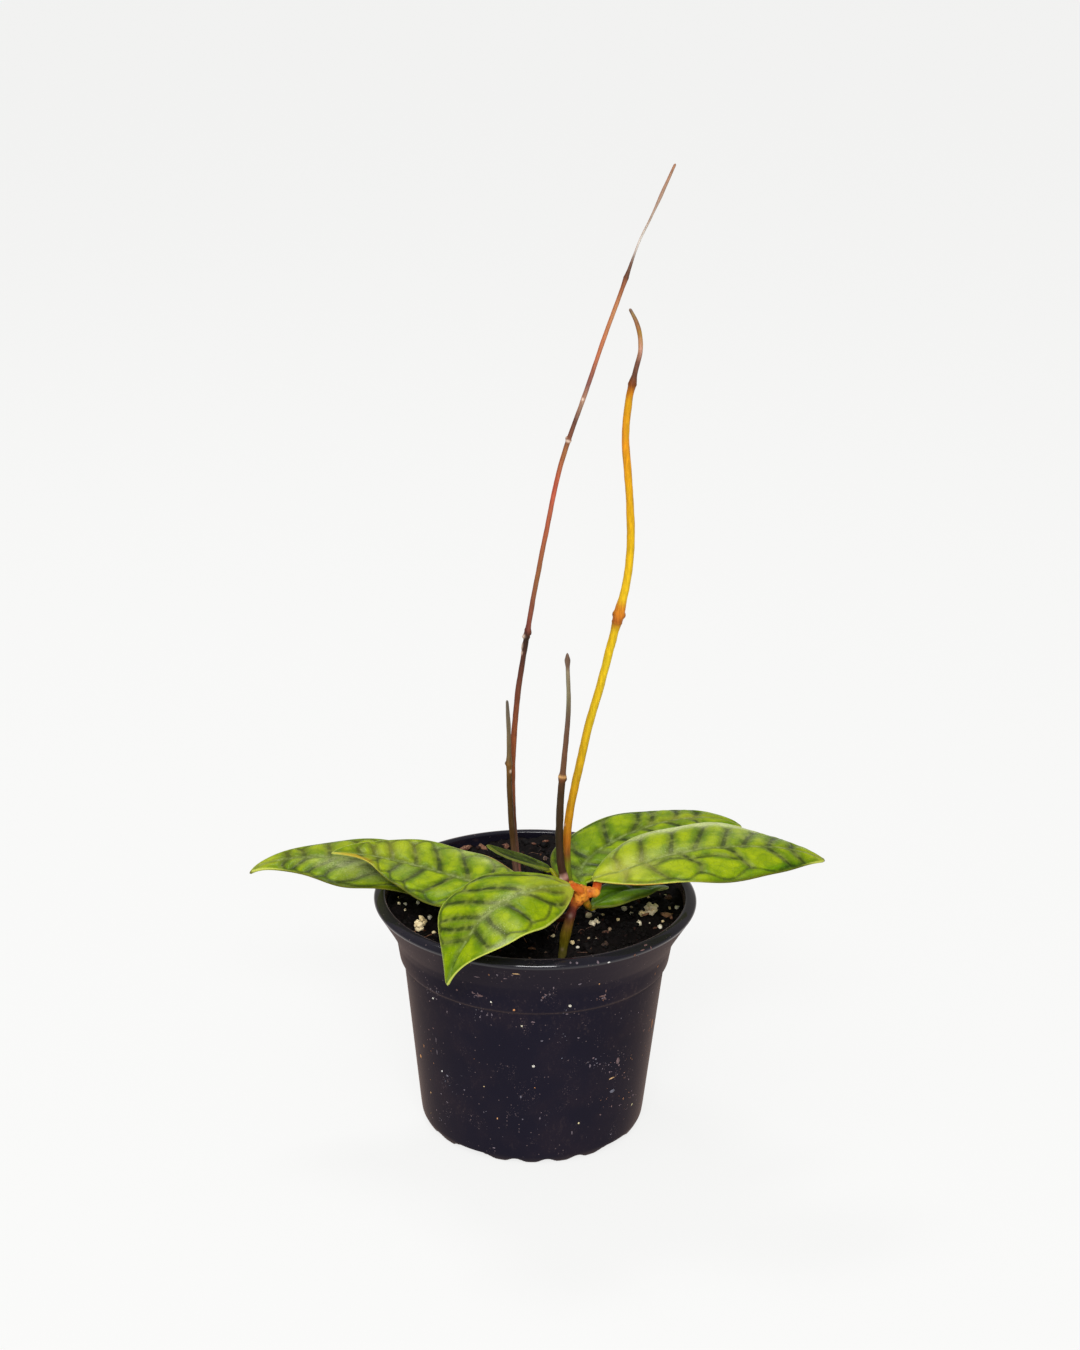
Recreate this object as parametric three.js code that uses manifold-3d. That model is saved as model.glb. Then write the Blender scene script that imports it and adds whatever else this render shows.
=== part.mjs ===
// Hoya callistophylla in a black plastic nursery pot.
// Millimetres, +Z up. The origin is the centre of the pot's flat base, on the ground, and the side
// that faces the viewer is -Y. Each physical piece is one closed solid: the pot, the soil, five
// stems and seven leaves, each leaf with its stalk.
import * as THREE from 'three';
import { mergeVertices } from 'three/addons/utils/BufferGeometryUtils.js';
import Module from 'manifold-3d';

const wasm = await Module();
wasm.setup();

// Pot
const POT_HEIGHT = 80.5;
const RIM_RADIUS = 52.5;
const COLLAR_RADIUS = 44.0;
const COLLAR_FOOT = 58.8;
const BODY_TOP_RADIUS = 42.7;
const BODY_FOOT_RADIUS = 37.1;
const BASE_RADIUS = 33;
const WALL = 1.2;
const FLOOR = 1.4;
const POT_SIDES = 44;
const SCALLOPS = 22;
const SCALLOP_HEIGHT = 2;
const SCALLOP_WIDTH = 5.2;
const MISSING_LOBES = [3, 9, 14, 19];
const MISSING_HEIGHT = 2.4;
const MISSING_WIDTH = 9;
const CHANNEL_RADIUS = 29;
const DRAIN_HOLES = 6;
const DRAIN_RADIUS = 3.2;
const DRAIN_CIRCLE = 22;

// Soil
const SOIL_LEVEL = 75.8;
const SOIL_SLOPE = 0.045;
const SOIL_RINGS = 9;
const SOIL_SIDES = 32;

// Fit between touching pieces, and the thickness of a leaf
const GAP = 0.35;
const LEAF_THICKNESS = 0.9;

// Small helpers

// Turns a geometry into a solid that can be joined and cut: shared vertices are merged, and
// triangles that shrank to a line at a pole are dropped.
function solid(geometry) {
  const bare = geometry.clone();
  bare.deleteAttribute('normal');
  bare.deleteAttribute('uv');
  const merged = mergeVertices(bare, 1e-4);
  const corners = Array.from(merged.index.array);
  const kept = [];
  for (let i = 0; i < corners.length; i += 3) {
    const [a, b, c] = corners.slice(i, i + 3);
    if (a !== b && b !== c && c !== a) kept.push(a, b, c);
  }
  const vertProperties = new Float32Array(merged.attributes.position.array);
  const triVerts = new Uint32Array(kept);
  return new wasm.Manifold(new wasm.Mesh({ numProp: 3, vertProperties, triVerts }));
}

// Turns a solid back into a geometry.
function surface(body) {
  const mesh = body.getMesh();
  const geometry = new THREE.BufferGeometry();
  geometry.setAttribute('position', new THREE.BufferAttribute(mesh.vertProperties, 3));
  geometry.setIndex(new THREE.BufferAttribute(mesh.triVerts, 1));
  geometry.computeVertexNormals();
  return geometry;
}

function joined(bodies) {
  return bodies.reduce((whole, body) => whole.add(body));
}

// The largest body of a cut solid, without loose scraps.
function largestBody(body) {
  return body.decompose().sort((a, b) => b.volume() - a.volume())[0];
}

// A repeatable random draw between 0 and 1.
function randomDraw(seed) {
  let state = seed;
  return () => {
    state = (state * 16807) % 2147483647;
    return state / 2147483647;
  };
}

// Value of a list of [place, value] steps at one place.
function along(steps, place) {
  const next = steps.findIndex(([at]) => at >= place);
  if (next <= 0) return steps[next === 0 ? 0 : steps.length - 1][1];
  const [a, valueA] = steps[next - 1];
  const [b, valueB] = steps[next];
  return THREE.MathUtils.lerp(valueA, valueB, (place - a) / (b - a));
}

// A full turn of a profile of [radius, height] points about the Z axis.
function turned(profile, sides) {
  const points = profile.map(([radius, height]) => new THREE.Vector2(radius, height));
  return new THREE.LatheGeometry(points, sides).rotateX(Math.PI / 2);
}

// A round stem: a slim turned shape, bent along a curve through the given points. Thickness is a
// list of [share of the length, radius] steps, so that nodes can swell.
function stem(points, thickness, rings, sides = 8, extra = 0) {
  const curve = new THREE.CatmullRomCurve3(points.map((p) => new THREE.Vector3(...p)));
  const frames = curve.computeFrenetFrames(rings);
  const profile = [new THREE.Vector2(0, 0)];
  for (let ring = 0; ring <= rings; ring += 1) {
    profile.push(new THREE.Vector2(along(thickness, ring / rings) + extra, ring));
  }
  profile.push(new THREE.Vector2(0, rings));
  const geometry = new THREE.LatheGeometry(profile, sides);
  const place = geometry.attributes.position;
  for (let i = 0; i < place.count; i += 1) {
    const ring = Math.round(place.getY(i));
    const point = curve.getPointAt(ring / rings);
    point.addScaledVector(frames.normals[ring], place.getX(i));
    point.addScaledVector(frames.binormals[ring], -place.getZ(i));
    place.setXYZ(i, point.x, point.y, point.z);
  }
  return solid(geometry);
}

// Pot

// The outside of the pot from the base up to the lip's inner edge. A channel under the base parts
// its flat middle from the scalloped foot.
function potOutside() {
  return [
    [CHANNEL_RADIUS, 0],
    [CHANNEL_RADIUS + 0.6, SCALLOP_HEIGHT],
    [BASE_RADIUS - 0.1, SCALLOP_HEIGHT + 0.2],
    [BASE_RADIUS + 0.2, 0],
    [BASE_RADIUS + 1.6, 0],
    [BODY_FOOT_RADIUS - 1.5, 0.9],
    [BODY_FOOT_RADIUS - 0.4, 3],
    [BODY_FOOT_RADIUS, 6],
    [(BODY_FOOT_RADIUS + BODY_TOP_RADIUS) / 2, 32],
    [BODY_TOP_RADIUS, COLLAR_FOOT - 1],
    [COLLAR_RADIUS, COLLAR_FOOT],
    [COLLAR_RADIUS + 1, 65],
    [COLLAR_RADIUS + 2, 67.8],
    [COLLAR_RADIUS + 4.1, 71.5],
    [RIM_RADIUS - 2, 75.5],
    [RIM_RADIUS - 0.7, 78],
    [RIM_RADIUS - 0.1, 79.5],
    [RIM_RADIUS - 0.3, POT_HEIGHT - 0.2],
    [RIM_RADIUS - 1, POT_HEIGHT],
    [RIM_RADIUS - 2.4, POT_HEIGHT - 0.2],
  ];
}

// The inside of the pot from the lip down to the floor's edge.
function potInside() {
  return [
    [RIM_RADIUS - 3.3, 77.6],
    [RIM_RADIUS - 3.8, 75.4],
    [COLLAR_RADIUS + 2.7, 71.5],
    [COLLAR_RADIUS + 0.7, 68],
    [COLLAR_RADIUS - 0.3, 65],
    [COLLAR_RADIUS - WALL, COLLAR_FOOT + 0.6],
    [BODY_TOP_RADIUS - WALL, COLLAR_FOOT - 0.6],
    [BODY_FOOT_RADIUS - WALL, 6],
    [BODY_FOOT_RADIUS - 2.2, SCALLOP_HEIGHT + FLOOR + 0.5],
    [BASE_RADIUS + 0.2, SCALLOP_HEIGHT + FLOOR],
    [CHANNEL_RADIUS + 0.4, SCALLOP_HEIGHT + FLOOR],
    [CHANNEL_RADIUS - 0.6, FLOOR],
  ];
}

// One notch through the foot, at a place counted in scallops round from the back.
function footNotch(place, width, height) {
  const notch = new THREE.CylinderGeometry(0.5, 0.5, 8, 8);
  notch.scale(width, 1, height * 2);
  notch.translate(0, BODY_FOOT_RADIUS - 0.6, 0);
  notch.rotateZ((place / SCALLOPS) * Math.PI * 2);
  return solid(notch);
}

// Notches between the foot's lobes, and in place of the few lobes that it lacks.
function scallopNotches() {
  const notches = MISSING_LOBES.map((lobe) => footNotch(lobe, MISSING_WIDTH, MISSING_HEIGHT));
  for (let i = 0; i < SCALLOPS; i += 1) {
    notches.push(footNotch(i + 0.5, SCALLOP_WIDTH, SCALLOP_HEIGHT));
  }
  return joined(notches);
}

function drainHoles() {
  const holes = [];
  for (let i = 0; i < DRAIN_HOLES; i += 1) {
    const angle = (i / DRAIN_HOLES) * Math.PI * 2;
    const hole = new THREE.CylinderGeometry(DRAIN_RADIUS, DRAIN_RADIUS, FLOOR * 4, 12);
    hole.rotateX(Math.PI / 2);
    hole.translate(DRAIN_CIRCLE * Math.cos(angle), DRAIN_CIRCLE * Math.sin(angle), 0);
    holes.push(solid(hole));
  }
  return joined(holes);
}

function nurseryPot() {
  const shell = turned([[0, 0], ...potOutside(), ...potInside(), [0, FLOOR]], POT_SIDES);
  return solid(shell).subtract(scallopNotches()).subtract(drainHoles());
}

// Stems: each has its route and its thickness. A shoot starts inside what carries it, and is then
// cut back to leave the gap.

const stems = {
  rooted_stem: {
    points: [[5, -29, 48], [6.4, -31.5, 62], [8.1, -33.3, 75], [8.7, -33.5, 79.5], [9.8, -33.5, 83.8],
      [11, -33.3, 87.9], [12.4, -32.7, 91.5], [14.2, -32.2, 94.8]],
    thickness: [[0, 1.1], [0.3, 1.4], [0.62, 1.7], [0.8, 1.5], [0.84, 2], [0.88, 1.5], [1, 1.9]],
    rings: 22,
  },
  tall_vine: {
    points: [[-3.6, 13, 50], [-5.1, 13, 75], [-6.5, 13, 89.2], [-7.6, 12.3, 102], [-8, 11.5, 121.6],
      [-6.8, 10.5, 143], [-4.2, 10, 163.2], [-1.7, 10, 180], [1.9, 10.3, 200.8], [5, 11, 217.6],
      [8, 12, 228.6], [13.3, 13.5, 244.3], [18.2, 15, 259.8], [23.5, 17.5, 274.9],
      [28.7, 19.5, 290], [32.2, 21, 297.4], [39.1, 24, 313]],
    thickness: [[0, 1], [0.3, 0.95], [0.42, 0.85], [0.43, 1.2], [0.44, 0.8], [0.67, 0.75], [0.68, 1],
      [0.69, 0.7], [0.85, 0.65], [0.86, 0.85], [0.875, 0.5], [0.89, 0.35], [0.94, 0.35],
      [0.96, 0.55], [1, 0.4]],
    rings: 56,
    sides: 6,
  },
  left_stub: {
    points: [[-4.4, 9.6, 56], [-5.7, 10.1, 76.4], [-6.8, 10, 86.2], [-7.9, 9.5, 97.8], [-8.8, 8.7, 111.6],
      [-9.1, 8.3, 122.2], [-9.3, 8, 131.7], [-10, 7.5, 143.9]],
    thickness: [[0, 1], [0.5, 0.95], [0.72, 0.85], [0.75, 1.1], [0.78, 0.75], [0.95, 0.65], [1, 0.4]],
    rings: 24,
    sides: 6,
  },
  middle_stub: {
    points: [[9.6, -28.2, 96], [9.2, -28.5, 98], [8.2, -28.5, 101.4], [7.4, -28.5, 107.9],
      [7.2, -28.8, 116.5], [7.5, -29, 127.8], [7.8, -29.2, 132.9], [8.7, -29, 145.1],
      [9.3, -28.5, 156.7], [9, -28, 164.4], [8.6, -27.5, 173]],
    thickness: [[0, 1.35], [0.08, 1.25], [0.3, 1.15], [0.46, 1.05], [0.48, 1.35], [0.5, 0.95],
      [0.85, 0.65], [0.94, 0.6], [0.97, 0.95], [1, 0.3]],
    rings: 30,
  },
  yellow_vine: {
    points: [[10.8, -26.6, 93.9], [10.2, -25.4, 97], [9.7, -24.9, 101], [9.6, -24.8, 106.3],
      [9.9, -24.5, 114.7], [11.1, -24.3, 124.1], [13.4, -24, 136.2], [15.7, -24, 148.2],
      [18.7, -24, 160.1], [21.3, -24.3, 172], [24, -25, 184.6], [26.1, -25.6, 195.7],
      [27, -26.3, 207.3], [26.5, -27, 218.8], [25.5, -28, 230.2], [24.5, -28.8, 241.5],
      [25.2, -29.3, 252.6], [26, -29.3, 257.4], [27.3, -29, 263.3], [28.2, -28.3, 267.7],
      [28, -27.5, 271.6], [26.8, -26.6, 275.6], [24.8, -25.5, 279.3]],
    thickness: [[0, 1.4], [0.06, 1.25], [0.46, 1.25], [0.475, 1.7], [0.5, 1.75], [0.52, 1.25],
      [0.7, 1.15], [0.8, 1.1], [0.855, 1.05], [0.87, 1.25], [0.89, 0.75], [0.97, 0.65], [1, 0.45]],
    rings: 52,
  },
};

function stemBody(name, extra = 0) {
  const { points, thickness, rings, sides } = stems[name];
  return stem(points, thickness, rings, sides, extra);
}

// The crown is the swollen joint at the rooted stem's end. A short arm at its back carries the
// middle stub, the yellow vine and the young leaf.
const CROWN = [14.3, -32.2, 94.8];
const CROWN_RADII = [3.1, 2.8, 3.2];
const ARM = [[14.2, -32.2, 94.4], [12.4, -30.2, 95], [9.9, -27.2, 95.6]];
const ARM_THICKNESS = [[0, 2.2], [0.7, 2.1], [1, 1.9]];

function rootedStem(extra = 0) {
  const swelling = new THREE.IcosahedronGeometry(1, 1);
  swelling.scale(...CROWN_RADII.map((radius) => radius + extra));
  swelling.translate(...CROWN);
  return joined([
    stemBody('rooted_stem', extra),
    solid(swelling),
    stem(ARM, ARM_THICKNESS, 5, 8, extra),
  ]);
}

// Leaves

// Each blade grows along a bent midrib of four points: where the stalk ends, two that bend it, and
// the tip. Roll turns the blade about the midrib and fold lifts its two halves, in degrees, at the
// base and at the tip. Round and taper set the outline's two ends, drip draws the tip out, curl
// bends the margins down and wave ripples them, in millimetres.
const leaves = {
  leaf_left_lower: {
    midrib: [[3.2, -26.2, 85.4], [-18.8, 2.9, 85.8], [-82.8, 12.5, 92.7], [-92.9, 2, 84.2]],
    roll: [-5, 10], fold: [5, -6], halfWidth: 17.5, round: 0.7, taper: 0.88, drip: 0.66,
    curl: 0.5, wave: 0.6, ripples: 3.5, stations: 22,
    stalk: [[11, -33.2, 87.4], [7.4, -30.6, 85.6], [3.2, -26.2, 85.4]], stalkRadius: 1.4,
  },
  leaf_left_upper: {
    midrib: [[-0.4, -29.7, 93.9], [-27.3, -19.3, 91.3], [-40.5, 3.9, 90.5], [-65.8, -4.6, 94.8]],
    roll: [16, -3], fold: [-8, 22], halfWidth: 16, round: 0.69, taper: 0.87, drip: 0,
    curl: 1.2, wave: 0.5, ripples: 3, stations: 18,
    stalk: [[13.2, -32.2, 93.6], [6, -31.4, 92.4], [-0.4, -29.7, 93.9]], stalkRadius: 1.3,
  },
  leaf_front: {
    midrib: [[12, -35.3, 98.5], [-10.9, -43.8, 108.4], [-22.6, -57.7, 89.2], [-26.3, -60.4, 76.4]],
    roll: [14, -13], fold: [-16, 28], halfWidth: 18.6, round: 0.56, taper: 0.64, drip: 0.69,
    curl: 2.3, wave: 0.4, ripples: 3, stations: 18,
    stalk: [[14, -32.4, 95], [13.8, -34.3, 96.9], [12, -35.3, 98.5]], stalkRadius: 1.4,
  },
  leaf_right_back: {
    midrib: [[15, -20.4, 92.5], [6, -7.9, 94.2], [46.4, 19.7, 107.3], [67.4, 14, 97.9]],
    roll: [-9, 8], fold: [8, 0], halfWidth: 14.7, round: 0.66, taper: 0.73, drip: 0.21,
    curl: 1.1, wave: 0.5, ripples: 3, stations: 18,
    stalk: [[14, -31.4, 94], [14.9, -26.5, 92.6], [15, -20.4, 92.5]], stalkRadius: 1.3,
  },
  leaf_right_front: {
    midrib: [[17.8, -30.3, 98.7], [41.6, -24.6, 108.6], [77, -21.1, 110.1], [91.2, -20.2, 101.9]],
    roll: [-8, 2], fold: [9, -6], halfWidth: 19.9, round: 0.76, taper: 0.78, drip: 0.44,
    curl: 1.7, wave: 0.5, ripples: 3, stations: 20,
    stalk: [[14.6, -32, 95.2], [16.8, -31.6, 96.4], [17.8, -30.3, 98.7]], stalkRadius: 1.5,
  },
  leaf_right_lower: {
    midrib: [[17.2, -25.2, 86.8], [25.2, -20.5, 90.1], [31, -13.8, 89], [42.4, -6, 84.9]],
    roll: [-8, 15], fold: [0, 19], halfWidth: 9, round: 0.9, taper: 0.63, drip: 0.07,
    curl: 0.9, wave: 0.3, ripples: 2.5, stations: 12,
    stalk: [[15, -31.8, 93.2], [16.4, -29, 89.6], [17.2, -25.2, 86.8]], stalkRadius: 1.2,
  },
  leaf_back_young: {
    midrib: [[4.7, -23.6, 98.9], [-3.9, -21.3, 101.1], [-10.6, -17.6, 101.3], [-15.7, -13.9, 102.7]],
    roll: [-4.5, -4.5], fold: [10.4, 10.4], halfWidth: 3.3, round: 0.5, taper: 0.8, drip: 0.1,
    curl: 0.2, wave: 0.1, ripples: 2, stations: 10,
    stalk: [[8.2, -26.4, 94.9], [6.5, -24.8, 96.9], [4.7, -23.6, 98.9]], stalkRadius: 0.75,
  },
};
const BLADE_COLUMNS = 8;

// Share of the greatest half-width at one place along the blade.
function bladeOutline(leaf, place) {
  const { round, taper, drip } = leaf;
  const widest = round / (round + taper);
  const peak = widest ** round * (1 - widest) ** taper;
  const tip = 1 - drip * THREE.MathUtils.smoothstep(place, 0.55, 1);
  return (place ** round * (1 - place) ** taper * tip) / peak;
}

// The blade's cross-section at one place along the midrib: where it is, which way is across and
// which way is up.
function bladeSection(leaf, curve, place) {
  const tangent = curve.getTangent(place);
  const across = new THREE.Vector3().crossVectors(tangent, new THREE.Vector3(0, 0, 1)).normalize();
  const up = new THREE.Vector3().crossVectors(across, tangent);
  const roll = THREE.MathUtils.degToRad(THREE.MathUtils.lerp(...leaf.roll, place));
  across.applyAxisAngle(tangent, -roll);
  up.applyAxisAngle(tangent, -roll);
  return { centre: curve.getPoint(place), across, up };
}

// A thin closed blade: the same grid of triangles above and below, joined round the margin.
function bladeGeometry(leaf) {
  const curve = new THREE.CubicBezierCurve3(...leaf.midrib.map((p) => new THREE.Vector3(...p)));
  const { stations } = leaf;
  const columns = BLADE_COLUMNS;
  const positions = [[], []];
  for (let i = 0; i <= stations; i += 1) {
    const even = i / stations;
    const place = (even + 0.5 - 0.5 * Math.cos(Math.PI * even)) / 2;
    const { centre, across, up } = bladeSection(leaf, curve, place);
    const share = bladeOutline(leaf, place);
    const halfWidth = Math.max(leaf.halfWidth * share, THREE.MathUtils.lerp(leaf.stalkRadius, 0.4, place));
    const fold = THREE.MathUtils.degToRad(THREE.MathUtils.lerp(...leaf.fold, place));
    for (let j = 0; j <= columns; j += 1) {
      const side = (2 * j) / columns - 1;
      const reach = Math.abs(side);
      const ripple = leaf.wave * share * reach ** 2 * Math.sin(Math.PI * 2 * leaf.ripples * place + side * 2);
      const rise = reach * halfWidth * Math.sin(fold) - leaf.curl * share * reach ** 2 + ripple;
      const point = centre.clone().addScaledVector(across, side * halfWidth * Math.cos(fold));
      [1, -1].forEach((face, layer) => {
        const offset = rise + (face * LEAF_THICKNESS) / 2;
        positions[layer].push(...point.clone().addScaledVector(up, offset).toArray());
      });
    }
  }
  const layerSize = (stations + 1) * (columns + 1);
  const at = (layer, i, j) => layer * layerSize + i * (columns + 1) + j;
  const corners = [];
  for (let i = 0; i < stations; i += 1) {
    for (let j = 0; j < columns; j += 1) {
      const [a, b, c, d] = [at(0, i, j), at(0, i + 1, j), at(0, i + 1, j + 1), at(0, i, j + 1)];
      corners.push(a, c, b, a, d, c);
      corners.push(...[a, b, c, a, c, d].map((corner) => corner + layerSize));
    }
  }
  const strip = (a, b) => corners.push(a, b, b + layerSize, a, b + layerSize, a + layerSize);
  for (let i = 0; i < stations; i += 1) {
    strip(at(0, i, 0), at(0, i + 1, 0));
    strip(at(0, i + 1, columns), at(0, i, columns));
  }
  for (let j = 0; j < columns; j += 1) {
    strip(at(0, 0, j + 1), at(0, 0, j));
    strip(at(0, stations, j), at(0, stations, j + 1));
  }
  const geometry = new THREE.BufferGeometry();
  const flat = new Float32Array([...positions[0], ...positions[1]]);
  geometry.setAttribute('position', new THREE.BufferAttribute(flat, 3));
  geometry.setIndex(corners);
  return geometry;
}

function leafBody(leaf) {
  const stalk = stem(leaf.stalk, [[0, leaf.stalkRadius], [1, leaf.stalkRadius * 0.85]], 5, 6);
  return solid(bladeGeometry(leaf)).add(stalk).subtract(rootedStem(GAP));
}

// Soil

// Lumps of the soil's surface, about a millimetre high.
function soilLump(x, y) {
  const broad = Math.sin(0.16 * x + 1.3) * Math.cos(0.13 * y + 0.4);
  const small = Math.sin(0.45 * x - 0.31 * y + 2) + Math.sin(0.37 * y + 0.62 * x);
  const fine = Math.sin(1.1 * x + 0.9 * y) * Math.cos(0.95 * y - 0.7 * x);
  return 0.7 * broad + 0.45 * small + 0.35 * fine;
}

function soilHeight(x, y) {
  return SOIL_LEVEL + SOIL_SLOPE * y + soilLump(x, y);
}

// Perlite grains and bark crumbs that the photograph shows, as [x, y, width].
const perlite = [[14, -4, 2.6], [17, -8, 3], [18, -14, 3], [22, -6, 2], [29, -2, 2.6], [31, -5, 1.8],
  [34, -8, 3.2], [38, -8, 4.4], [33, -12, 2.4], [40, -15, 2.2], [46, -4, 2], [12, -27, 2.4],
  [14, -30, 1.8], [-36, -15, 4], [-37, -19, 4], [-34, -13, 2], [-39, -4, 2], [-42, -6, 1.8],
  [-32, -24, 2]];
const bark = [[42, -6, 5], [-1, -32, 3], [23, -20, 3.6], [-24, 39, 6], [-18, 42, 5], [-10, 43, 4]];

// More grains over the rest of the surface, by a rule.
function scatteredGrains(count, seed) {
  const draw = randomDraw(seed);
  const grains = [];
  for (let i = 0; i < count; i += 1) {
    const radius = 44 * Math.sqrt(draw());
    const angle = draw() * Math.PI * 2;
    grains.push([radius * Math.cos(angle), Math.abs(radius * Math.sin(angle)), 1.8 + 2 * draw()]);
  }
  return grains;
}

function grainBodies(grains, flatness, seed) {
  const draw = randomDraw(seed);
  return grains.map(([x, y, width]) => {
    const grain = new THREE.IcosahedronGeometry(width / 2, 0);
    grain.scale(1 + 0.3 * draw(), 1 - 0.2 * draw(), flatness);
    grain.rotateZ(draw() * Math.PI);
    grain.rotateX(0.5 * draw());
    grain.translate(x, y, soilHeight(x, y) + width * 0.08);
    return solid(grain);
  });
}

function pottingSoil() {
  const bottom = SCALLOP_HEIGHT + FLOOR + GAP;
  const profile = [[0, bottom], [RIM_RADIUS, bottom]];
  for (let ring = SOIL_RINGS; ring >= 0; ring -= 1) {
    profile.push([(RIM_RADIUS * ring) / SOIL_RINGS, SOIL_LEVEL]);
  }
  const block = turned(profile, SOIL_SIDES);
  const place = block.attributes.position;
  for (let i = 0; i < place.count; i += 1) {
    if (place.getZ(i) > bottom + 1) place.setZ(i, soilHeight(place.getX(i), place.getY(i)));
  }
  const walls = potInside().filter(([, height]) => height > bottom).reverse();
  const cavity = walls.map(([radius, height]) => [radius - GAP, height]);
  const room = turned([[0, bottom], [BASE_RADIUS, bottom], ...cavity, [RIM_RADIUS - 4, POT_HEIGHT + 4],
    [0, POT_HEIGHT + 4]], POT_SIDES);
  const filling = joined([
    solid(block),
    ...grainBodies([...perlite, ...scatteredGrains(10, 77)], 0.8, 5),
    ...grainBodies(bark, 0.5, 9),
  ]);
  const holes = [rootedStem(GAP), stemBody('tall_vine', GAP), stemBody('left_stub', GAP)];
  return largestBody(filling.intersect(solid(room)).subtract(joined(holes)));
}

// Assembly

const plastic = { color: 0x17171f, roughness: 0.45, metalness: 0 };
const earth = { color: 0x1b1512, roughness: 0.95, metalness: 0 };
const blade = { color: 0x7da616, roughness: 0.4, metalness: 0 };
const shade = { color: 0x2f6a18, roughness: 0.4, metalness: 0 };
const redBark = { color: 0x7a4a33, roughness: 0.6, metalness: 0 };
const darkBark = { color: 0x4a3320, roughness: 0.6, metalness: 0 };
const yellowBark = { color: 0xd0a01c, roughness: 0.5, metalness: 0 };
const crownBark = { color: 0xa8602a, roughness: 0.55, metalness: 0 };

const group = new THREE.Group();

function addPiece(name, body, look) {
  const mesh = new THREE.Mesh(surface(body), new THREE.MeshStandardMaterial(look));
  mesh.name = name;
  group.add(mesh);
}

addPiece('nursery_pot', nurseryPot(), plastic);
addPiece('potting_soil', pottingSoil(), earth);
addPiece('rooted_stem', rootedStem(), crownBark);
addPiece('tall_vine', stemBody('tall_vine'), redBark);
addPiece('left_stub', stemBody('left_stub'), darkBark);
addPiece('middle_stub', stemBody('middle_stub').subtract(rootedStem(GAP)), darkBark);
addPiece('yellow_vine', stemBody('yellow_vine').subtract(rootedStem(GAP)), yellowBark);
Object.entries(leaves).forEach(([name, leaf]) => {
  addPiece(name, leafBody(leaf), name === 'leaf_right_lower' ? shade : blade);
});

export default group;
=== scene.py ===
"""Looks of a potted Hoya callistophylla, built round its packed CAD frame.

The code works in millimetres, in the frame's own axes, and a mesh becomes metres when it is made.
The pot's base stands on the ground at the origin and -Y faces the viewer.
"""

import itertools
import math

import bmesh
import bpy
import numpy as np
from mathutils import Matrix, Vector
from mathutils.bvhtree import BVHTree


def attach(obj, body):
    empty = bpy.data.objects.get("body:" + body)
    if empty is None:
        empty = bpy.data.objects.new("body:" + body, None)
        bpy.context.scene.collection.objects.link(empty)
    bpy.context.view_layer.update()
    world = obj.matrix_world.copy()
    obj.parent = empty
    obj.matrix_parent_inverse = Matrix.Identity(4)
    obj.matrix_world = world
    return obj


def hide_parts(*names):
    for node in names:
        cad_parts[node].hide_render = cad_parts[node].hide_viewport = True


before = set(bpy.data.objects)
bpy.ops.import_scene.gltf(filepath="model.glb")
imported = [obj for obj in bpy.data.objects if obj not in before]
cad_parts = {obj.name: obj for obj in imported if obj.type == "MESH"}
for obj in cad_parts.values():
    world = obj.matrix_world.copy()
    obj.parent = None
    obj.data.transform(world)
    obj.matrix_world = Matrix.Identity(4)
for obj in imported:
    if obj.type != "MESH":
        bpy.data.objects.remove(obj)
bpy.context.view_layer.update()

bl_info = {
    "name": "Potted hoya",
    "version": (1, 0, 0),
    "blender": (4, 5, 0),
    "location": "View3D > Sidebar > Hoya",
    "description": "Pot, soil, stems and veined leaves of a potted hoya",
    "category": "Object",
}

MM = 0.001
BODY = "root"

# The photograph's camera
PICTURE = (1080, 1350)
RIM_PIXEL = (535.2, 891.0)
RIM_CENTRE = (0.0, 0.0, 80.5)
CAMERA_DISTANCE = 900.0
CAMERA_ELEVATION = math.radians(24.91)
CAMERA_ROLL = math.radians(0.91)
PIXELS_PER_MM = 3.067
SENSOR = 36.0

# Directions that the sides of stems and stalks are measured from
VIEWER = (0, -1, 0)
UPWARD = (0, 0, 1)

# Seeds of what is drawn by chance. Stems and leaves count up from theirs.
SEEDS = {
    "soil": 11, "crumbs": 21, "perlite": 22, "bark": 23, "fibres": 24, "pot_grains": 31,
    "stems": 41, "rooted_stem": 51, "leaves": 61,
}


def paint(red, green, blue):
    """A colour read on the usual 0 to 255 scale, as linear light."""
    levels = (value / 255 for value in (red, green, blue))
    return tuple(v / 12.92 if v <= 0.04045 else ((v + 0.055) / 1.055) ** 2.4 for v in levels)


def rise(low, high, value):
    """Climbs softly from 0 at low to 1 at high."""
    part = np.clip((np.asarray(value, float) - low) / (high - low), 0, 1)
    return part * part * (3 - 2 * part)


def between(pair, share):
    """A value that goes evenly from the first of a pair to the second."""
    return pair[0] + (pair[1] - pair[0]) * share


def unit(vectors):
    """The same directions, one unit long."""
    vectors = np.asarray(vectors, float)
    return vectors / np.linalg.norm(vectors, axis=-1, keepdims=True)


class Lumps:
    """Smooth seeded noise, about -1 to 1, that pushes points about."""

    CELLS = 24
    STRENGTH = 1.6

    def __init__(self, seed):
        draw = np.random.default_rng(seed)
        self.table = draw.uniform(-1, 1, (self.CELLS,) * 3)

    def __call__(self, points, size):
        place = np.asarray(points, float) / size
        low = np.floor(place).astype(int)
        part = place - low
        part = part * part * (3 - 2 * part)
        total = np.zeros(len(place))
        for corner in itertools.product((0, 1), repeat=3):
            share = np.prod(np.where(corner, part, 1 - part), axis=1)
            cell = (low + corner) % self.CELLS
            total += share * self.table[cell[:, 0], cell[:, 1], cell[:, 2]]
        return total * self.STRENGTH


# Lines and round bodies

SMALLEST_END = 0.15


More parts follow.
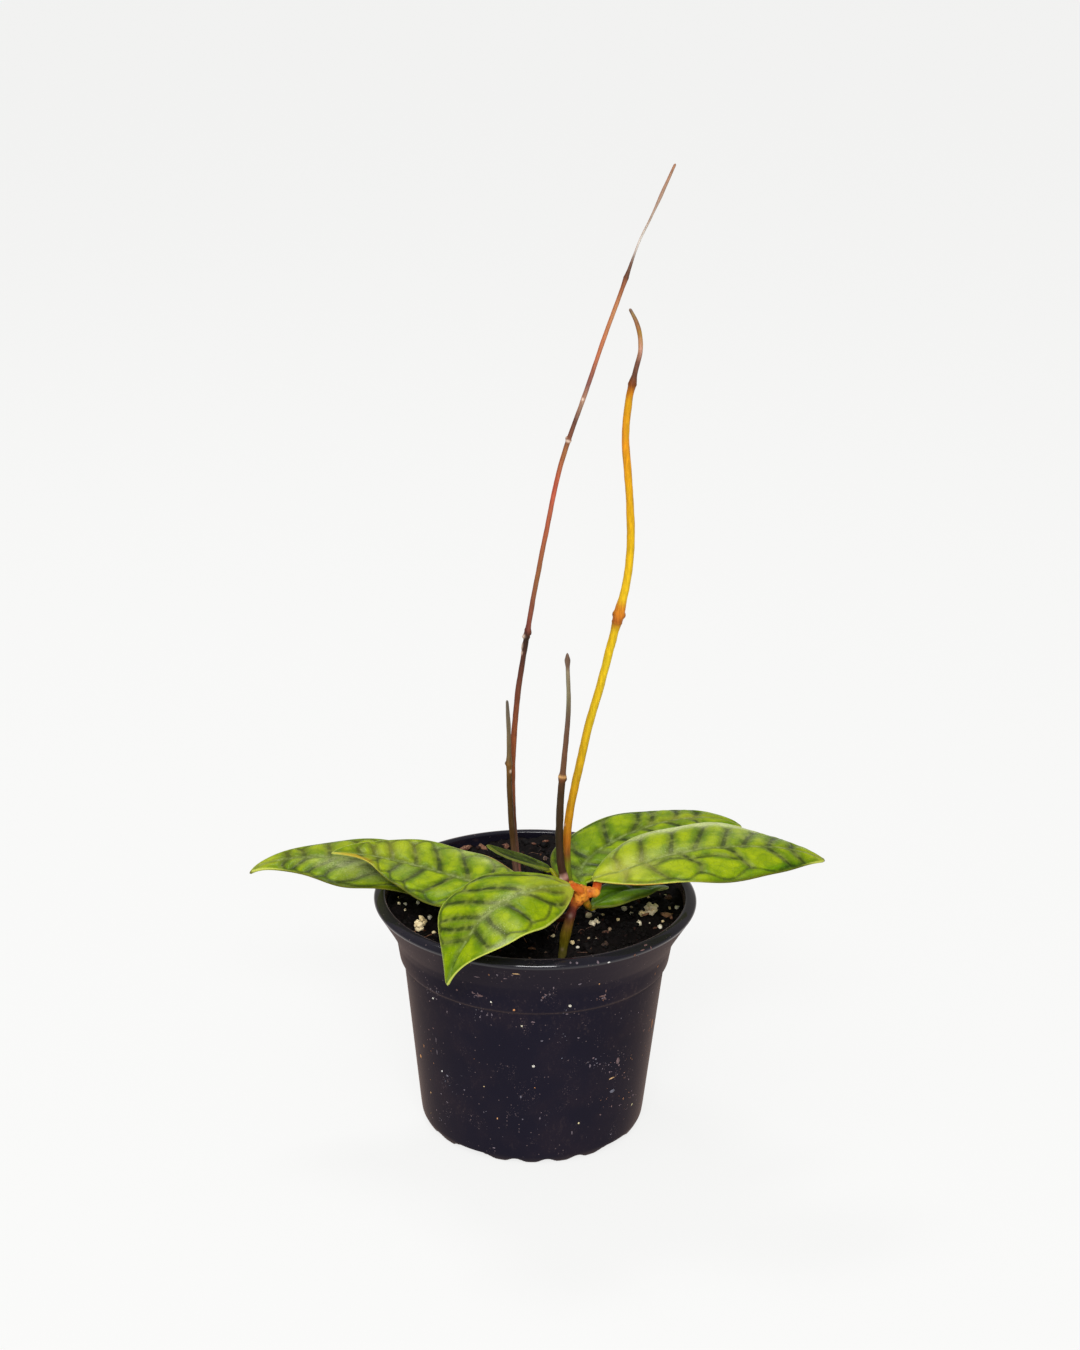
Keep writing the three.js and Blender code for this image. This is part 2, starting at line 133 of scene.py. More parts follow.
def smooth_path(points, steps=24):
    """A smooth curve through every point, drawn as many short steps."""
    points = np.asarray(points, float)
    ends = np.vstack([2 * points[0] - points[1], points, 2 * points[-1] - points[-2]])
    share = np.linspace(0, 1, steps, endpoint=False)[:, None]
    pieces = []
    for a, b, c, d in zip(ends, ends[1:], ends[2:], ends[3:]):
        before, here, after = (max(np.linalg.norm(v) ** 0.5, 1e-4) for v in (b - a, c - b, d - c))
        leave = ((b - a) / before - (c - a) / (before + here) + (c - b) / here) * here
        reach = ((c - b) / here - (d - b) / (here + after) + (d - c) / after) * here
        square = (3 * (c - b) - 2 * leave - reach) * share ** 2
        cube = (2 * (b - c) + leave + reach) * share ** 3
        pieces.append(b + leave * share + square + cube)
    return np.vstack([*pieces, points[-1:]])


def lengths_along(path):
    """How far along a path each of its points is."""
    return np.r_[0, np.cumsum(np.linalg.norm(np.diff(path, axis=0), axis=1))]


def evenly(path, spacing):
    """Points spaced evenly along a path, about spacing apart."""
    far = lengths_along(path)
    at = np.linspace(0, far[-1], max(int(far[-1] / spacing), 4) + 1)
    return np.stack([np.interp(at, far, column) for column in path.T], axis=1)


def ring_faces(rings, sides):
    """The four-sided faces of a tube of rings."""
    ring, side = np.meshgrid(np.arange(rings - 1), np.arange(sides), indexing="ij")
    ring, side = ring.ravel(), side.ravel()
    beside = (side + 1) % sides
    low, high = ring * sides, (ring + 1) * sides
    return np.stack([low + side, low + beside, high + beside, high + side], axis=1)


class Shape:
    """Points, faces and values of the closed bodies that make up a piece."""

    def __init__(self):
        self.points = []
        self.faces = []
        self.values = {}
        self.count = 0

    def add(self, points, faces, **values):
        """Adds a closed body. Each value is one number, or one number a point."""
        points = np.asarray(points, float)
        for name in sorted(set(self.values) | set(values)):
            known = self.values.setdefault(name, [np.zeros(self.count)])
            known.append(np.broadcast_to(values.get(name, 0.0), (len(points),)).astype(float))
        for group in faces:
            self.faces.extend((np.asarray(group) + self.count).tolist())
        self.points.append(points)
        self.count += len(points)

    def mesh(self, name):
        """The shape's mesh, in metres."""
        mesh = bpy.data.meshes.new(name)
        mesh.from_pydata((np.vstack(self.points) * MM).tolist(), [], self.faces)
        for label, parts in self.values.items():
            attribute = mesh.attributes.new(label, "FLOAT", "POINT")
            attribute.data.foreach_set("value", np.concatenate(parts).astype(np.float32))
        mesh.polygons.foreach_set("use_smooth", [True] * len(mesh.polygons))
        mesh.update()
        return mesh


def show(name, mesh, look, nodes=()):
    """Puts a finished mesh in the scene as a piece, which stands for the CAD nodes given."""
    piece = bpy.data.objects.new(name, mesh)
    bpy.context.scene.collection.objects.link(piece)
    mesh.materials.clear()
    mesh.materials.append(look)
    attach(piece, BODY)
    if nodes:
        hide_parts(*nodes)


def applied(mesh, kind, **settings):
    """A copy of a mesh with one modifier worked in."""
    holder = bpy.data.objects.new("holder", mesh)
    bpy.context.scene.collection.objects.link(holder)
    modifier = holder.modifiers.new(kind, kind)
    for name, value in settings.items():
        setattr(modifier, name, value)
    depsgraph = bpy.context.evaluated_depsgraph_get()
    result = bpy.data.meshes.new_from_object(holder.evaluated_get(depsgraph))
    bpy.data.objects.remove(holder)
    return result


def frames_along(path, facing):
    """Two directions across a path at each point: towards facing, and to its right."""
    tangent = unit(np.gradient(path, axis=0))
    facing = np.asarray(facing, float)
    front = unit(facing - tangent * (tangent @ facing)[:, None])
    return front, np.cross(tangent, front)


def tube(path, radius, sides, facing=VIEWER, blunt=0.6):
    """A closed round body along a path. Radius is one number a ring, or one a ring and side, and
    blunt is how far each end takes to round off. Returns points, faces, run and turn: run is the
    share of the length, and turn the angle from the facing side, positive to its right."""
    rings = len(path)
    far = lengths_along(path)
    radius = np.broadcast_to(np.asarray(radius, float).reshape(rings, -1), (rings, sides))
    from_end = np.clip(np.minimum(far, far[-1] - far) / blunt, 0, 1)
    rounding = np.sqrt(1 - (1 - from_end) ** 2).clip(SMALLEST_END)
    front, right = frames_along(path, facing)
    turn = np.arange(sides) / sides * 2 * math.pi
    across = front[:, None] * np.cos(turn)[None, :, None] + right[:, None] * np.sin(turn)[None, :, None]
    skin = path[:, None] + across * (radius * rounding[:, None])[:, :, None]
    points = np.vstack([skin.reshape(-1, 3), path[:1], path[-1:]])
    last = (rings - 1) * sides
    side = np.arange(sides)
    beside = (side + 1) % sides
    start_cap = np.stack([beside, side, np.full(sides, rings * sides)], axis=1)
    end_cap = np.stack([last + side, last + beside, np.full(sides, rings * sides + 1)], axis=1)
    run = np.r_[np.repeat(far / far[-1], sides), 0, 1]
    turn = np.r_[np.tile(np.where(turn > math.pi, turn - 2 * math.pi, turn), rings), 0, 0]
    return points, [ring_faces(rings, sides), start_cap, end_cap], run, turn


def ball(detail):
    """Points and faces of a ball of radius 1, in even triangles."""
    grown = bmesh.new()
    bmesh.ops.create_icosphere(grown, subdivisions=detail, radius=1)
    points = np.array([vertex.co for vertex in grown.verts])
    faces = np.array([[vertex.index for vertex in face.verts] for face in grown.faces])
    grown.free()
    return points, faces


def roughened(points, share, most, draw):
    """Points of a ball moved in or out by chance, by a share of the radius and at most so often."""
    return points * (1 + share * draw.standard_normal((len(points), 1)).clip(-most, most))


def turned_about_z(points, angle):
    """Points turned about the upright axis."""
    cos, sin = math.cos(angle), math.sin(angle)
    return points @ np.array([[cos, sin, 0], [-sin, cos, 0], [0, 0, 1]])


# Materials

# Sockets of the Mix node for colours, by number because their names repeat
MIX_SHARE, MIX_FIRST, MIX_SECOND, MIX_RESULT = 0, 6, 7, 2


class Wire:
    """A socket of a material, on which sums can be written."""

    def __init__(self, look, socket):
        self.look = look
        self.socket = socket

    def _sum(self, operation, first, second):
        return self.look.node("ShaderNodeMath", {"operation": operation}, {0: first, 1: second})

    def __add__(self, other):
        return self._sum("ADD", self, other)

    def __sub__(self, other):
        return self._sum("SUBTRACT", self, other)

    def __rsub__(self, other):
        return self._sum("SUBTRACT", other, self)

    def __mul__(self, other):
        return self._sum("MULTIPLY", self, other)

    def __gt__(self, other):
        return self._sum("GREATER_THAN", self, other)

    __radd__ = __add__
    __rmul__ = __mul__


class Look:
    """One material, built up node by node."""

    def __init__(self, name):
        self.material = bpy.data.materials.new(name)
        self.material.use_nodes = True
        self.tree = self.material.node_tree
        self.skin = self.tree.nodes["Principled BSDF"]
        places = self.node("ShaderNodeTexCoord", output="Object")
        self.mm = self.scaled(places, (1 / MM,) * 3)

    def node(self, kind, settings=None, inputs=None, output=0):
        """Adds a node: its settings first, then its sockets' values or wires."""
        node = self.tree.nodes.new(kind)
        for name, value in (settings or {}).items():
            if name == "stops":
                self._set_stops(node.color_ramp, value)
            else:
                setattr(node, name, value)
        for key, value in (inputs or {}).items():
            self._feed(node.inputs[key], value)
        return Wire(self, node.outputs[output])

    def _feed(self, socket, value):
        """Gives a socket a wire, a number or a colour."""
        if isinstance(value, Wire):
            self.tree.links.new(value.socket, socket)
        elif socket.type == "RGBA" and len(value) == 3:
            socket.default_value = (*value, 1)
        else:
            socket.default_value = value

    @staticmethod
    def _set_stops(ramp, stops):
        while len(ramp.elements) < len(stops):
            ramp.elements.new(0.5)
        for element, (place, colour) in zip(ramp.elements, stops):
            element.position = place
            element.color = (*colour, 1)

    def scaled(self, wire, factors):
        """A vector with each of its three parts made longer or shorter."""
        return self.node("ShaderNodeVectorMath", {"operation": "MULTIPLY"}, {0: wire, 1: factors})

    def value(self, name):
        """A value that the mesh holds at its points."""
        return self.node("ShaderNodeAttribute", {"attribute_name": name}, output="Fac")

    def noise(self, size, detail=2, rough=0.5, place=None):
        """Cloudy noise of 0 to 1, with patches of about size millimetres."""
        inputs = {"Vector": place or self.mm, "Scale": 1 / size, "Detail": detail, "Roughness": rough}
        return self.node("ShaderNodeTexNoise", None, inputs)

    def cells(self, size, feature="F1", output="Distance"):
        """Cell pattern with cells of about size millimetres."""
        inputs = {"Vector": self.mm, "Scale": 1 / size}
        return self.node("ShaderNodeTexVoronoi", {"feature": feature}, inputs, output)

    def rise(self, value, low, high):
        """Climbs softly from 0 where value is low to 1 where it is high."""
        inputs = {"Value": value, "From Min": low, "From Max": high}
        return self.node("ShaderNodeMapRange", {"interpolation_type": "SMOOTHSTEP"}, inputs)

    def mix(self, share, first, second, blend="MIX"):
        """One colour turning into another."""
        settings = {"data_type": "RGBA", "blend_type": blend}
        inputs = {MIX_SHARE: share, MIX_FIRST: first, MIX_SECOND: second}
        return self.node("ShaderNodeMix", settings, inputs, MIX_RESULT)

    def tinted(self, share, first, second):
        """A colour multiplied by another, by a share."""
        return self.mix(share, first, second, "MULTIPLY")

    def ramp(self, value, stops):
        """The colour at a value of 0 to 1, between stops of a place and a colour."""
        return self.node("ShaderNodeValToRGB", {"stops": stops}, {"Fac": value})

    def split(self, wire, axis):
        """One part of a vector: X, Y or Z."""
        return self.node("ShaderNodeSeparateXYZ", None, {0: wire}, axis)

    def bump(self, height, depth):
        """A normal pushed about by a height of 0 to 1, as deep as depth millimetres."""
        inputs = {"Strength": 1.0, "Distance": depth * MM, "Height": height}
        return self.node("ShaderNodeBump", None, inputs)

    def finish(self, **sockets):
        """Sets the skin's sockets, named with underlines, and returns the material."""
        for name, value in sockets.items():
            self._feed(self.skin.inputs[name.replace("_", " ")], value)
        return self.material


# Settings that a user would change


class HoyaPot(bpy.types.PropertyGroup):
    """Plastic nursery pot."""

    plastic: bpy.props.FloatVectorProperty(
        name="Plastic", description="Colour of the pot's plastic", subtype="COLOR",
        default=paint(24, 22, 33), min=0, max=1)
    dust: bpy.props.FloatVectorProperty(
        name="Dust", description="Colour of the dried soil and water marks", subtype="COLOR",
        default=paint(126, 106, 96), min=0, max=1)
    dustiness: bpy.props.FloatProperty(
        name="Dustiness", description="How much dust lies on the pot", subtype="FACTOR",
        default=0.5, min=0, max=1)
    grains: bpy.props.IntProperty(
        name="Loose grains", description="Grains of soil stuck to the outside by chance",
        default=70, min=0, max=600)


class HoyaSoil(bpy.types.PropertyGroup):
    """Potting mix."""

    peat: bpy.props.FloatVectorProperty(
        name="Peat", description="Colour of the wet peat", subtype="COLOR",
        default=paint(17, 11, 11), min=0, max=1)
    perlite: bpy.props.FloatVectorProperty(
        name="Perlite", description="Colour of the perlite grains", subtype="COLOR",
        default=paint(255, 230, 172), min=0, max=1)
    crumbs: bpy.props.IntProperty(
        name="Crumbs", description="Loose crumbs on the soil", default=1000, min=0, max=3000)
    small_grains: bpy.props.IntProperty(
        name="Small perlite", description="Small perlite grains scattered by chance",
        default=36, min=0, max=400)


class HoyaLeaf(bpy.types.PropertyGroup):
    """Leaves."""

    cell: bpy.props.FloatVectorProperty(
        name="Between veins", description="Bright green between the veins", subtype="COLOR",
        default=paint(150, 168, 4), min=0, max=1)
    cell_shade: bpy.props.FloatVectorProperty(
        name="Between veins, deeper", description="Deeper green between the veins",
        subtype="COLOR", default=paint(100, 128, 4), min=0, max=1)
    vein: bpy.props.FloatVectorProperty(
        name="Veins", description="Dark green of the side veins", subtype="COLOR",
        default=paint(46, 58, 16), min=0, max=1)
    rim: bpy.props.FloatVectorProperty(
        name="Margin", description="Pale line along the margin", subtype="COLOR",
        default=paint(192, 198, 88), min=0, max=1)
    thickness: bpy.props.FloatProperty(
        name="Thickness", description="Thickness of a blade at its middle", subtype="DISTANCE",
        unit="LENGTH", default=1.1 * MM, min=0.6 * MM, max=2 * MM)
    puff: bpy.props.FloatProperty(
        name="Puffed cells", description="How far the leaf swells between its veins",
        subtype="DISTANCE", unit="LENGTH", default=0.46 * MM, min=0, max=MM)


class HoyaStem(bpy.types.PropertyGroup):
    """Stems and vines."""

    relief: bpy.props.FloatProperty(
        name="Wrinkles", description="Depth of the wrinkles along a stem", subtype="DISTANCE",
        unit="LENGTH", default=0.05 * MM, min=0, max=0.2 * MM)
    crown: bpy.props.FloatVectorProperty(
        name="Crown", description="Orange of the swollen joint", subtype="COLOR",
        default=paint(200, 112, 28), min=0, max=1)


class HoyaStage(bpy.types.PropertyGroup):
    """Floor and light."""

    floor: bpy.props.FloatVectorProperty(
        name="Floor", description="Colour of the floor", subtype="COLOR",
        default=paint(247, 247, 246), min=0, max=1)
    floor_glow: bpy.props.FloatProperty(
        name="Floor glow", description="How far the floor is lit from below, which softens shadows",
        subtype="FACTOR", default=0.88, min=0, max=1)
    floor_size: bpy.props.FloatProperty(
        name="Floor size", description="Width of the floor", subtype="DISTANCE", unit="LENGTH",
        default=50, min=2, max=60)
    sky: bpy.props.FloatProperty(
        name="Fill light", description="Brightness of the even light all round",
        default=0.35, min=0, max=4)
    key: bpy.props.FloatProperty(
        name="Key light", description="Strength of the soft light from above", default=1.0,
        min=0, max=20)


# Camera and stage

FLOOR_DROP = 0.3
VIEW_LIMIT = 100
KEY_SPREAD = math.radians(60)
KEY_TILT = (math.radians(38), 0, math.radians(-22))
# Small lamps: name, place and size in metres, and power in watts
LAMPS = (
    ("window", (-0.25, 0.5, 1.15), (0.4, 0.2), 5),
    ("lamp", (0.02, -0.95, 0.85), (0.5, 0.22), 8.5),
)


def camera_turn():
    """The camera's rotation, from the pixel where the rim's centre falls."""
    focal = PIXELS_PER_MM * CAMERA_DISTANCE
    right = RIM_PIXEL[0] - PICTURE[0] / 2
    down = RIM_PIXEL[1] - PICTURE[1] / 2
    cos, sin = math.cos(CAMERA_ROLL), math.sin(CAMERA_ROLL)
    across = right * cos + down * sin
    below = down * cos - right * sin
    pitch = CAMERA_ELEVATION - math.atan2(below, focal)
    yaw = math.atan2(across, focal)
    aim = Matrix.Rotation(yaw, 3, "Z") @ Matrix.Rotation(math.pi / 2 - pitch, 3, "X")
    return aim @ Matrix.Rotation(CAMERA_ROLL, 3, "Z")


def camera_place():
    """Where the camera stands, in millimetres."""
    back = CAMERA_DISTANCE * math.cos(CAMERA_ELEVATION)
    up = CAMERA_DISTANCE * math.sin(CAMERA_ELEVATION)
    return Vector(RIM_CENTRE) + Vector((0, -back, up))


def sight_line(pixel):
    """The direction in which the camera sees a pixel of the photograph."""
    focal = PIXELS_PER_MM * CAMERA_DISTANCE
    right = (pixel[0] - PICTURE[0] / 2) / focal
    down = (pixel[1] - PICTURE[1] / 2) / focal
    return (camera_turn() @ Vector((right, -down, -1))).normalized()


class HOYA_OT_stage(bpy.types.Operator):
    """Set up the camera, the pale floor and the soft light"""

    bl_idname = "hoya.stage"
    bl_label = "Floor, light and camera"

    def execute(self, context):
        settings = context.scene.hoya_stage
        scene = context.scene
        lens = bpy.data.cameras.new("camera")
        lens.sensor_width = SENSOR
        lens.lens = PIXELS_PER_MM * CAMERA_DISTANCE / max(PICTURE) * SENSOR
        lens.clip_end = VIEW_LIMIT
        camera = bpy.data.objects.new("camera", lens)
        camera.matrix_world = Matrix.Translation(camera_place() * MM) @ camera_turn().to_4x4()
        scene.collection.objects.link(camera)
        scene.camera = camera
        self.floor(scene, settings)
        self.lights(scene, settings)
        scene.view_settings.view_transform = "Standard"
        return {"FINISHED"}

    @staticmethod
    def floor(scene, settings):
        """A large pale floor, just under the pot."""
        half = settings.floor_size / 2
        mesh = bpy.data.meshes.new("floor")
        corners = [(-half, -half), (half, -half), (half, half), (-half, half)]
        mesh.from_pydata([(x, y, -FLOOR_DROP * MM) for x, y in corners], [], [(0, 1, 2, 3)])
        floor = bpy.data.objects.new("floor", mesh)
        scene.collection.objects.link(floor)
        look = Look("floor_paper")
        dull = [level * (1 - settings.floor_glow) for level in settings.floor]
        mesh.materials.append(look.finish(
            Base_Color=dull, Emission_Color=settings.floor, Emission_Strength=settings.floor_glow,
            Roughness=0.9, Specular_IOR_Level=0.0))

    @staticmethod
    def lights(scene, settings):
        """An even pale sky, a broad soft key light and two small lamps for the gloss."""
        world = bpy.data.worlds.new("studio")
        world.use_nodes = True
        sky = world.node_tree.nodes["Background"]
        sky.inputs["Color"].default_value = (1, 1, 1, 1)
        sky.inputs["Strength"].default_value = settings.sky
        scene.world = world
        key = bpy.data.lights.new("key", "SUN")
        key.energy = settings.key
        key.angle = KEY_SPREAD
        holder = bpy.data.objects.new("key", key)
        holder.rotation_euler = KEY_TILT
        scene.collection.objects.link(holder)
        for name, place, size, power in LAMPS:
            glow = bpy.data.lights.new(name, "AREA")
            glow.energy = power
            glow.shape = "RECTANGLE"
            glow.size, glow.size_y = size
            holder = bpy.data.objects.new(name, glow)
            holder.location = place
            aim = Vector(RIM_CENTRE) * MM - Vector(place)
            holder.rotation_euler = aim.to_track_quat("-Z", "Y").to_euler()
            scene.collection.objects.link(holder)


# Pot

# Outlines of the pot's wall as radius and height: up the outside, then down the inside
POT_OUTSIDE = (
    (29, 0), (29.6, 2), (32.9, 2.2), (33.2, 0), (34.6, 0), (35.6, 0.9), (36.7, 3), (37.1, 6),
    (39.9, 32), (42.7, 57.8), (44, 58.8), (45, 65), (46, 67.8), (48.1, 71.5), (50.5, 75.5),
    (51.9, 77.7), (52.4, 78.5), (52.4, 79), (51.9, 79.6), (50.6, 80.25), (49.6, 80.45), (48.9, 80.2),
)
POT_INSIDE = (
    (48.6, 79.6), (48.75, 77.6), (48.7, 75.4), (46.7, 71.5), (44.7, 68), (43.7, 65), (42.8, 59.4),
    (41.5, 58.2), (35.9, 6), (34.9, 3.9), (33.2, 3.4), (29.4, 3.4), (28.4, 1.4),
)
UNDERSIDE_RADII = (0, 12, 26)
POT_SIDES = 264
CORNER_RADIUS = 0.7
WALL_SPACING = 2.4
FOOT_SPACING = 0.5
SHARP_ANGLE = math.radians(50)
FLOOR_TOP = 1.4
SCALLOPS = 22
MISSING_LOBES = (3, 9, 14, 19)
SCALLOP_HEIGHT = 2.0
SCALLOP_POWER = 1.2
MISSING_HEIGHT = 2.4
MISSING_EDGE = (0.62, 0.42)
FOOT_RADIUS = 32.7
FOOT_TOP = 4.5
DRAIN_HOLES = 6
DRAIN_RADIUS = 3.2
DRAIN_CIRCLE = 22
DRILL_ENDS = (-4, 6)
DRILL_SIDES = 40

# Grains and marks on the pot that the photograph shows: pixel, width and height in millimetres,
# and a tint from 0, white, over cream, orange and brown to 1, grey
POT_MARKS = (
    (514, 1010, 1.0, 1.0, 0.42), (491, 1002, 0.6, 0.6, 0.1), (480, 1017, 0.6, 0.6, 0.8),
    (522, 1026, 0.7, 0.7, 0.15), (533, 1022, 1.6, 0.5, 0.7), (570, 1006, 0.9, 0.8, 0.1),
    (567, 1014, 0.8, 0.5, 0.75), (542, 1041, 0.8, 0.6, 0.9), (578.5, 1038, 1.0, 0.6, 0.8),
    (533.4, 1066.3, 0.8, 0.8, 0.05), (442, 1071, 0.8, 0.6, 0.0), (447.6, 1076, 0.9, 0.7, 0.9),
    (593.5, 1058, 0.8, 0.6, 0.7), (617.6, 1061, 1.2, 2.0, 0.65), (612, 1078, 2.2, 0.6, 0.35),
    (612, 1091, 1.8, 1.2, 0.95), (484, 1086.5, 0.5, 0.5, 0.3), (464.5, 1090, 0.5, 0.5, 0.85),
    (447, 1102, 0.7, 0.5, 0.8), (520.7, 1097, 0.6, 0.9, 0.9), (632, 1104, 0.7, 0.8, 0.25),
    (652, 1023, 0.9, 3.2, 0.5), (649, 1030, 0.6, 2.0, 0.55), (516, 974, 2.0, 0.6, 0.35),
    (477, 977, 1.8, 0.4, 0.7), (497, 975, 0.6, 0.8, 0.8), (505, 978.6, 0.9, 0.6, 0.7),
    (580, 984, 1.1, 0.9, 0.8), (553.6, 988, 0.5, 1.2, 0.75), (543, 998, 0.8, 0.7, 0.6),
    (546, 995, 0.6, 0.6, 0.7), (602.7, 996, 2.6, 0.7, 0.6), (606, 991, 0.5, 1.4, 0.6),
    (480, 995.5, 2.4, 0.6, 0.62), (473, 993, 1.0, 0.5, 0.65), (433, 998, 0.8, 0.7, 0.05),
    (570.5, 962.5, 0.7, 0.7, 0.8), (577, 963, 0.7, 0.7, 0.8), (598, 962.5, 0.8, 0.9, 0.75),
    (608.6, 962.5, 0.9, 0.7, 0.0), (635, 955, 1.2, 0.7, 0.55), (646, 945, 1.4, 0.6, 0.6),
    (643, 950, 1.8, 0.4, 0.6), (651, 948, 0.6, 1.2, 0.6), (658, 966, 0.8, 0.9, 0.52),
    (655, 974, 0.5, 0.8, 0.52), (424, 1046, 0.5, 1.2, 0.5), (421, 1056, 0.9, 1.2, 0.4),
    (436, 1040, 0.3, 2.2, 0.75), (437, 1052, 0.3, 1.8, 0.8), (579, 1123, 0.7, 0.8, 0.25),
    (611, 1134, 0.8, 0.5, 0.85), (572, 1133, 0.4, 1.6, 0.8), (494, 1148, 1.0, 0.5, 0.8),
    (600, 1064, 0.6, 0.5, 0.75), (590, 1066, 0.5, 1.6, 0.8), (457, 990, 0.7, 0.5, 0.6),
    (460, 1004, 0.6, 0.6, 0.8), (447, 1012, 0.5, 0.9, 0.75), (492, 1015, 0.5, 1.0, 0.8),
)
# Grains by chance lie between these heights. Each grain is a ball made rough by this share, and its
# half-sizes are these shares of its width, its height and the smaller of the two.
GRAIN_HEIGHTS = (3, 79)
GRAIN_ROUGHNESS = 0.28
GRAIN_HALF = 0.6
GRAIN_DEPTH = 0.22
FLECK_SPREAD = 0.6
BEYOND_POT = 70
# Groups of small flecks that the photograph shows: middle pixel, reach to the right and down in
# pixels, number of flecks and their middle tint
POT_FLECKS = (
    (478, 995, 8, 4, 14, 0.68), (480, 1013, 6, 7, 12, 0.85), (503, 978, 7, 4, 6, 0.7),
    (546, 995, 6, 6, 12, 0.75), (603, 998, 7, 5, 16, 0.62), (568, 1009, 6, 6, 8, 0.9),
    (561, 1037, 7, 10, 9, 0.9), (598, 1063, 8, 6, 16, 0.85), (614, 1068, 6, 12, 22, 0.66),
    (612, 1102, 20, 11, 26, 0.62), (436, 994, 5, 6, 10, 0.8), (452, 1081, 10, 15, 10, 0.9),
    (431, 1050, 3, 22, 16, 0.6), (629, 1084, 7, 26, 30, 0.6), (645, 1040, 4, 26, 14, 0.58),
    (428, 990, 5, 16, 12, 0.7), (440, 1120, 8, 12, 8, 0.75), (520, 1120, 40, 16, 12, 0.8),
)


def rounded(profile, radius, steps=4):
    """A profile with its corners rounded off."""
    profile = np.asarray(profile, float)
    points = [profile[0]]
    for before, corner, after in zip(profile, profile[1:], profile[2:]):
        back, on = before - corner, after - corner
        back_far, on_far = np.linalg.norm(back), np.linalg.norm(on)
        start = corner + back / back_far * min(radius, back_far * 0.48)
        end = corner + on / on_far * min(radius, on_far * 0.48)
        for share in np.linspace(0, 1, steps):
            bend = (1 - share) ** 2 * start + 2 * share * (1 - share) * corner + share ** 2 * end
            points.append(bend)
    points.append(profile[-1])
    return np.array(points)


def filled_in(profile):
    """A profile with extra points, set more closely below the top of the foot."""
    points = [profile[0]]
    for a, b in zip(profile, profile[1:]):
        spacing = FOOT_SPACING if max(a[1], b[1]) < FOOT_TOP else WALL_SPACING
        count = max(1, math.ceil(np.linalg.norm(b - a) / spacing))
        points.extend(a + (b - a) * k / count for k in range(1, count + 1))
    return np.array(points)


def inside_radius(height):
    """The pot's inner radius at a height."""
    radii, heights = zip(*reversed(POT_INSIDE))
    return np.interp(height, heights, radii)


def lathe(profile, sides):
    """Points and faces of a closed body turned from a profile that starts and ends on the axis."""
    profile = np.asarray(profile, float)
    middle = profile[1:-1]
    turn = np.arange(sides) / sides * 2 * math.pi
    spin = np.stack([np.cos(turn), np.sin(turn)], axis=1)
    rings = np.concatenate([
        middle[:, None, :1] * spin[None],
        np.broadcast_to(middle[:, None, 1:], (len(middle), sides, 1)),
    ], axis=2).reshape(-1, 3)
    poles = [(0, 0, profile[0][1]), (0, 0, profile[-1][1])]
    side = np.arange(sides)
    beside = (side + 1) % sides
    last = (len(middle) - 1) * sides
    start = np.full(sides, len(rings))
    bottom = np.stack([beside, side, start], axis=1)
    top = np.stack([last + side, last + beside, start + 1], axis=1)
    return np.vstack([rings, poles]), [ring_faces(len(middle), sides), bottom, top]


def scalloped(points):
    """The pot's foot cut into notches between its lobes, with a few lobes missing."""
    x, y, z = points.T
    place = (np.arctan2(-x, y) / (2 * math.pi) * SCALLOPS) % SCALLOPS
    lift = SCALLOP_HEIGHT * (0.5 - 0.5 * np.cos(2 * math.pi * place)) ** SCALLOP_POWER
    for lobe in MISSING_LOBES:
        lift = np.maximum(lift, MISSING_HEIGHT * rise(*MISSING_EDGE, abs(place - lobe)))
    foot = (z < FOOT_TOP) & (np.hypot(x, y) > FOOT_RADIUS)
    return np.stack([x, y, np.where(foot, np.maximum(z, lift), z)], axis=1)


def pot_look(settings):
    """Near-black plastic with a dull shine, dried dust, scuffs and water marks, and a lip painted darker
    as shade.
    """
    look = Look("pot_plastic")
    cloud = look.noise(9, 4, 0.6)
    streak = look.noise(1.4, 5, 0.7, look.scaled(look.mm, (1, 1, 0.5)))
    fleck = look.noise(0.7, 3, 0.7)
    height = look.split(look.mm, "Z")
    # Where the dried film lies: in clouds, round the collar and a little on the lip
    collar = look.rise(height, 74, 60) * look.rise(height, 44, 60) * 0.25
    lip = look.rise(height, 76, 80)
    brown = look.rise(look.noise(14, 2), 0.42, 0.7) * look.rise(height, 72, 58)
    where = look.rise(cloud, 0.5, 0.8) * 0.6 + collar + lip * 0.06 + brown * 0.3
    film = where * look.rise(streak * 0.6 + fleck * 0.4, 0.5, 0.7) * settings.dustiness
    # Round water spots, and scuffs in patches
    chance = look.split(look.cells(1.3, output="Color"), "X")
    spot = look.rise(look.cells(1.3), 0.2, 0.08) * (chance > 0.86) * settings.dustiness
    scuff = look.rise(look.noise(0.5, 4, 0.7), 0.6, 0.7) * look.rise(look.noise(6, 1), 0.6, 0.7)
    base = look.mix(look.noise(30, 2), settings.plastic, [level * 1.35 for level in settings.plastic])
    # Painted shade: the plastic on the lip is drawn darker
    base = look.tinted(lip * 0.6, base, (0.5, 0.5, 0.5))
    colour = look.mix(brown * 0.04, base, paint(92, 66, 56))
    colour = look.mix(film * 0.5, colour, settings.dust)
    colour = look.mix(spot * 0.7 + scuff * 0.6, colour, paint(160, 138, 136))
    rough = 0.3 - look.rise(height, 76, 78) * 0.14 + film * 0.35 + spot * 0.3 + brown * 0.1
    orange_peel = look.noise(0.9, 2) * 0.5 + look.noise(0.22, 2) * 0.2 + film * 0.6
    return look.finish(Base_Color=colour, Roughness=rough, Normal=look.bump(orange_peel, 0.05),
                       Specular_IOR_Level=0.0, Coat_Roughness=0.1,
                       Coat_Weight=look.rise(height, 77.6, 78.4) * 0.7 + 0.05,
                       Sheen_Weight=0.9, Sheen_Roughness=0.35, Sheen_Tint=settings.dust)


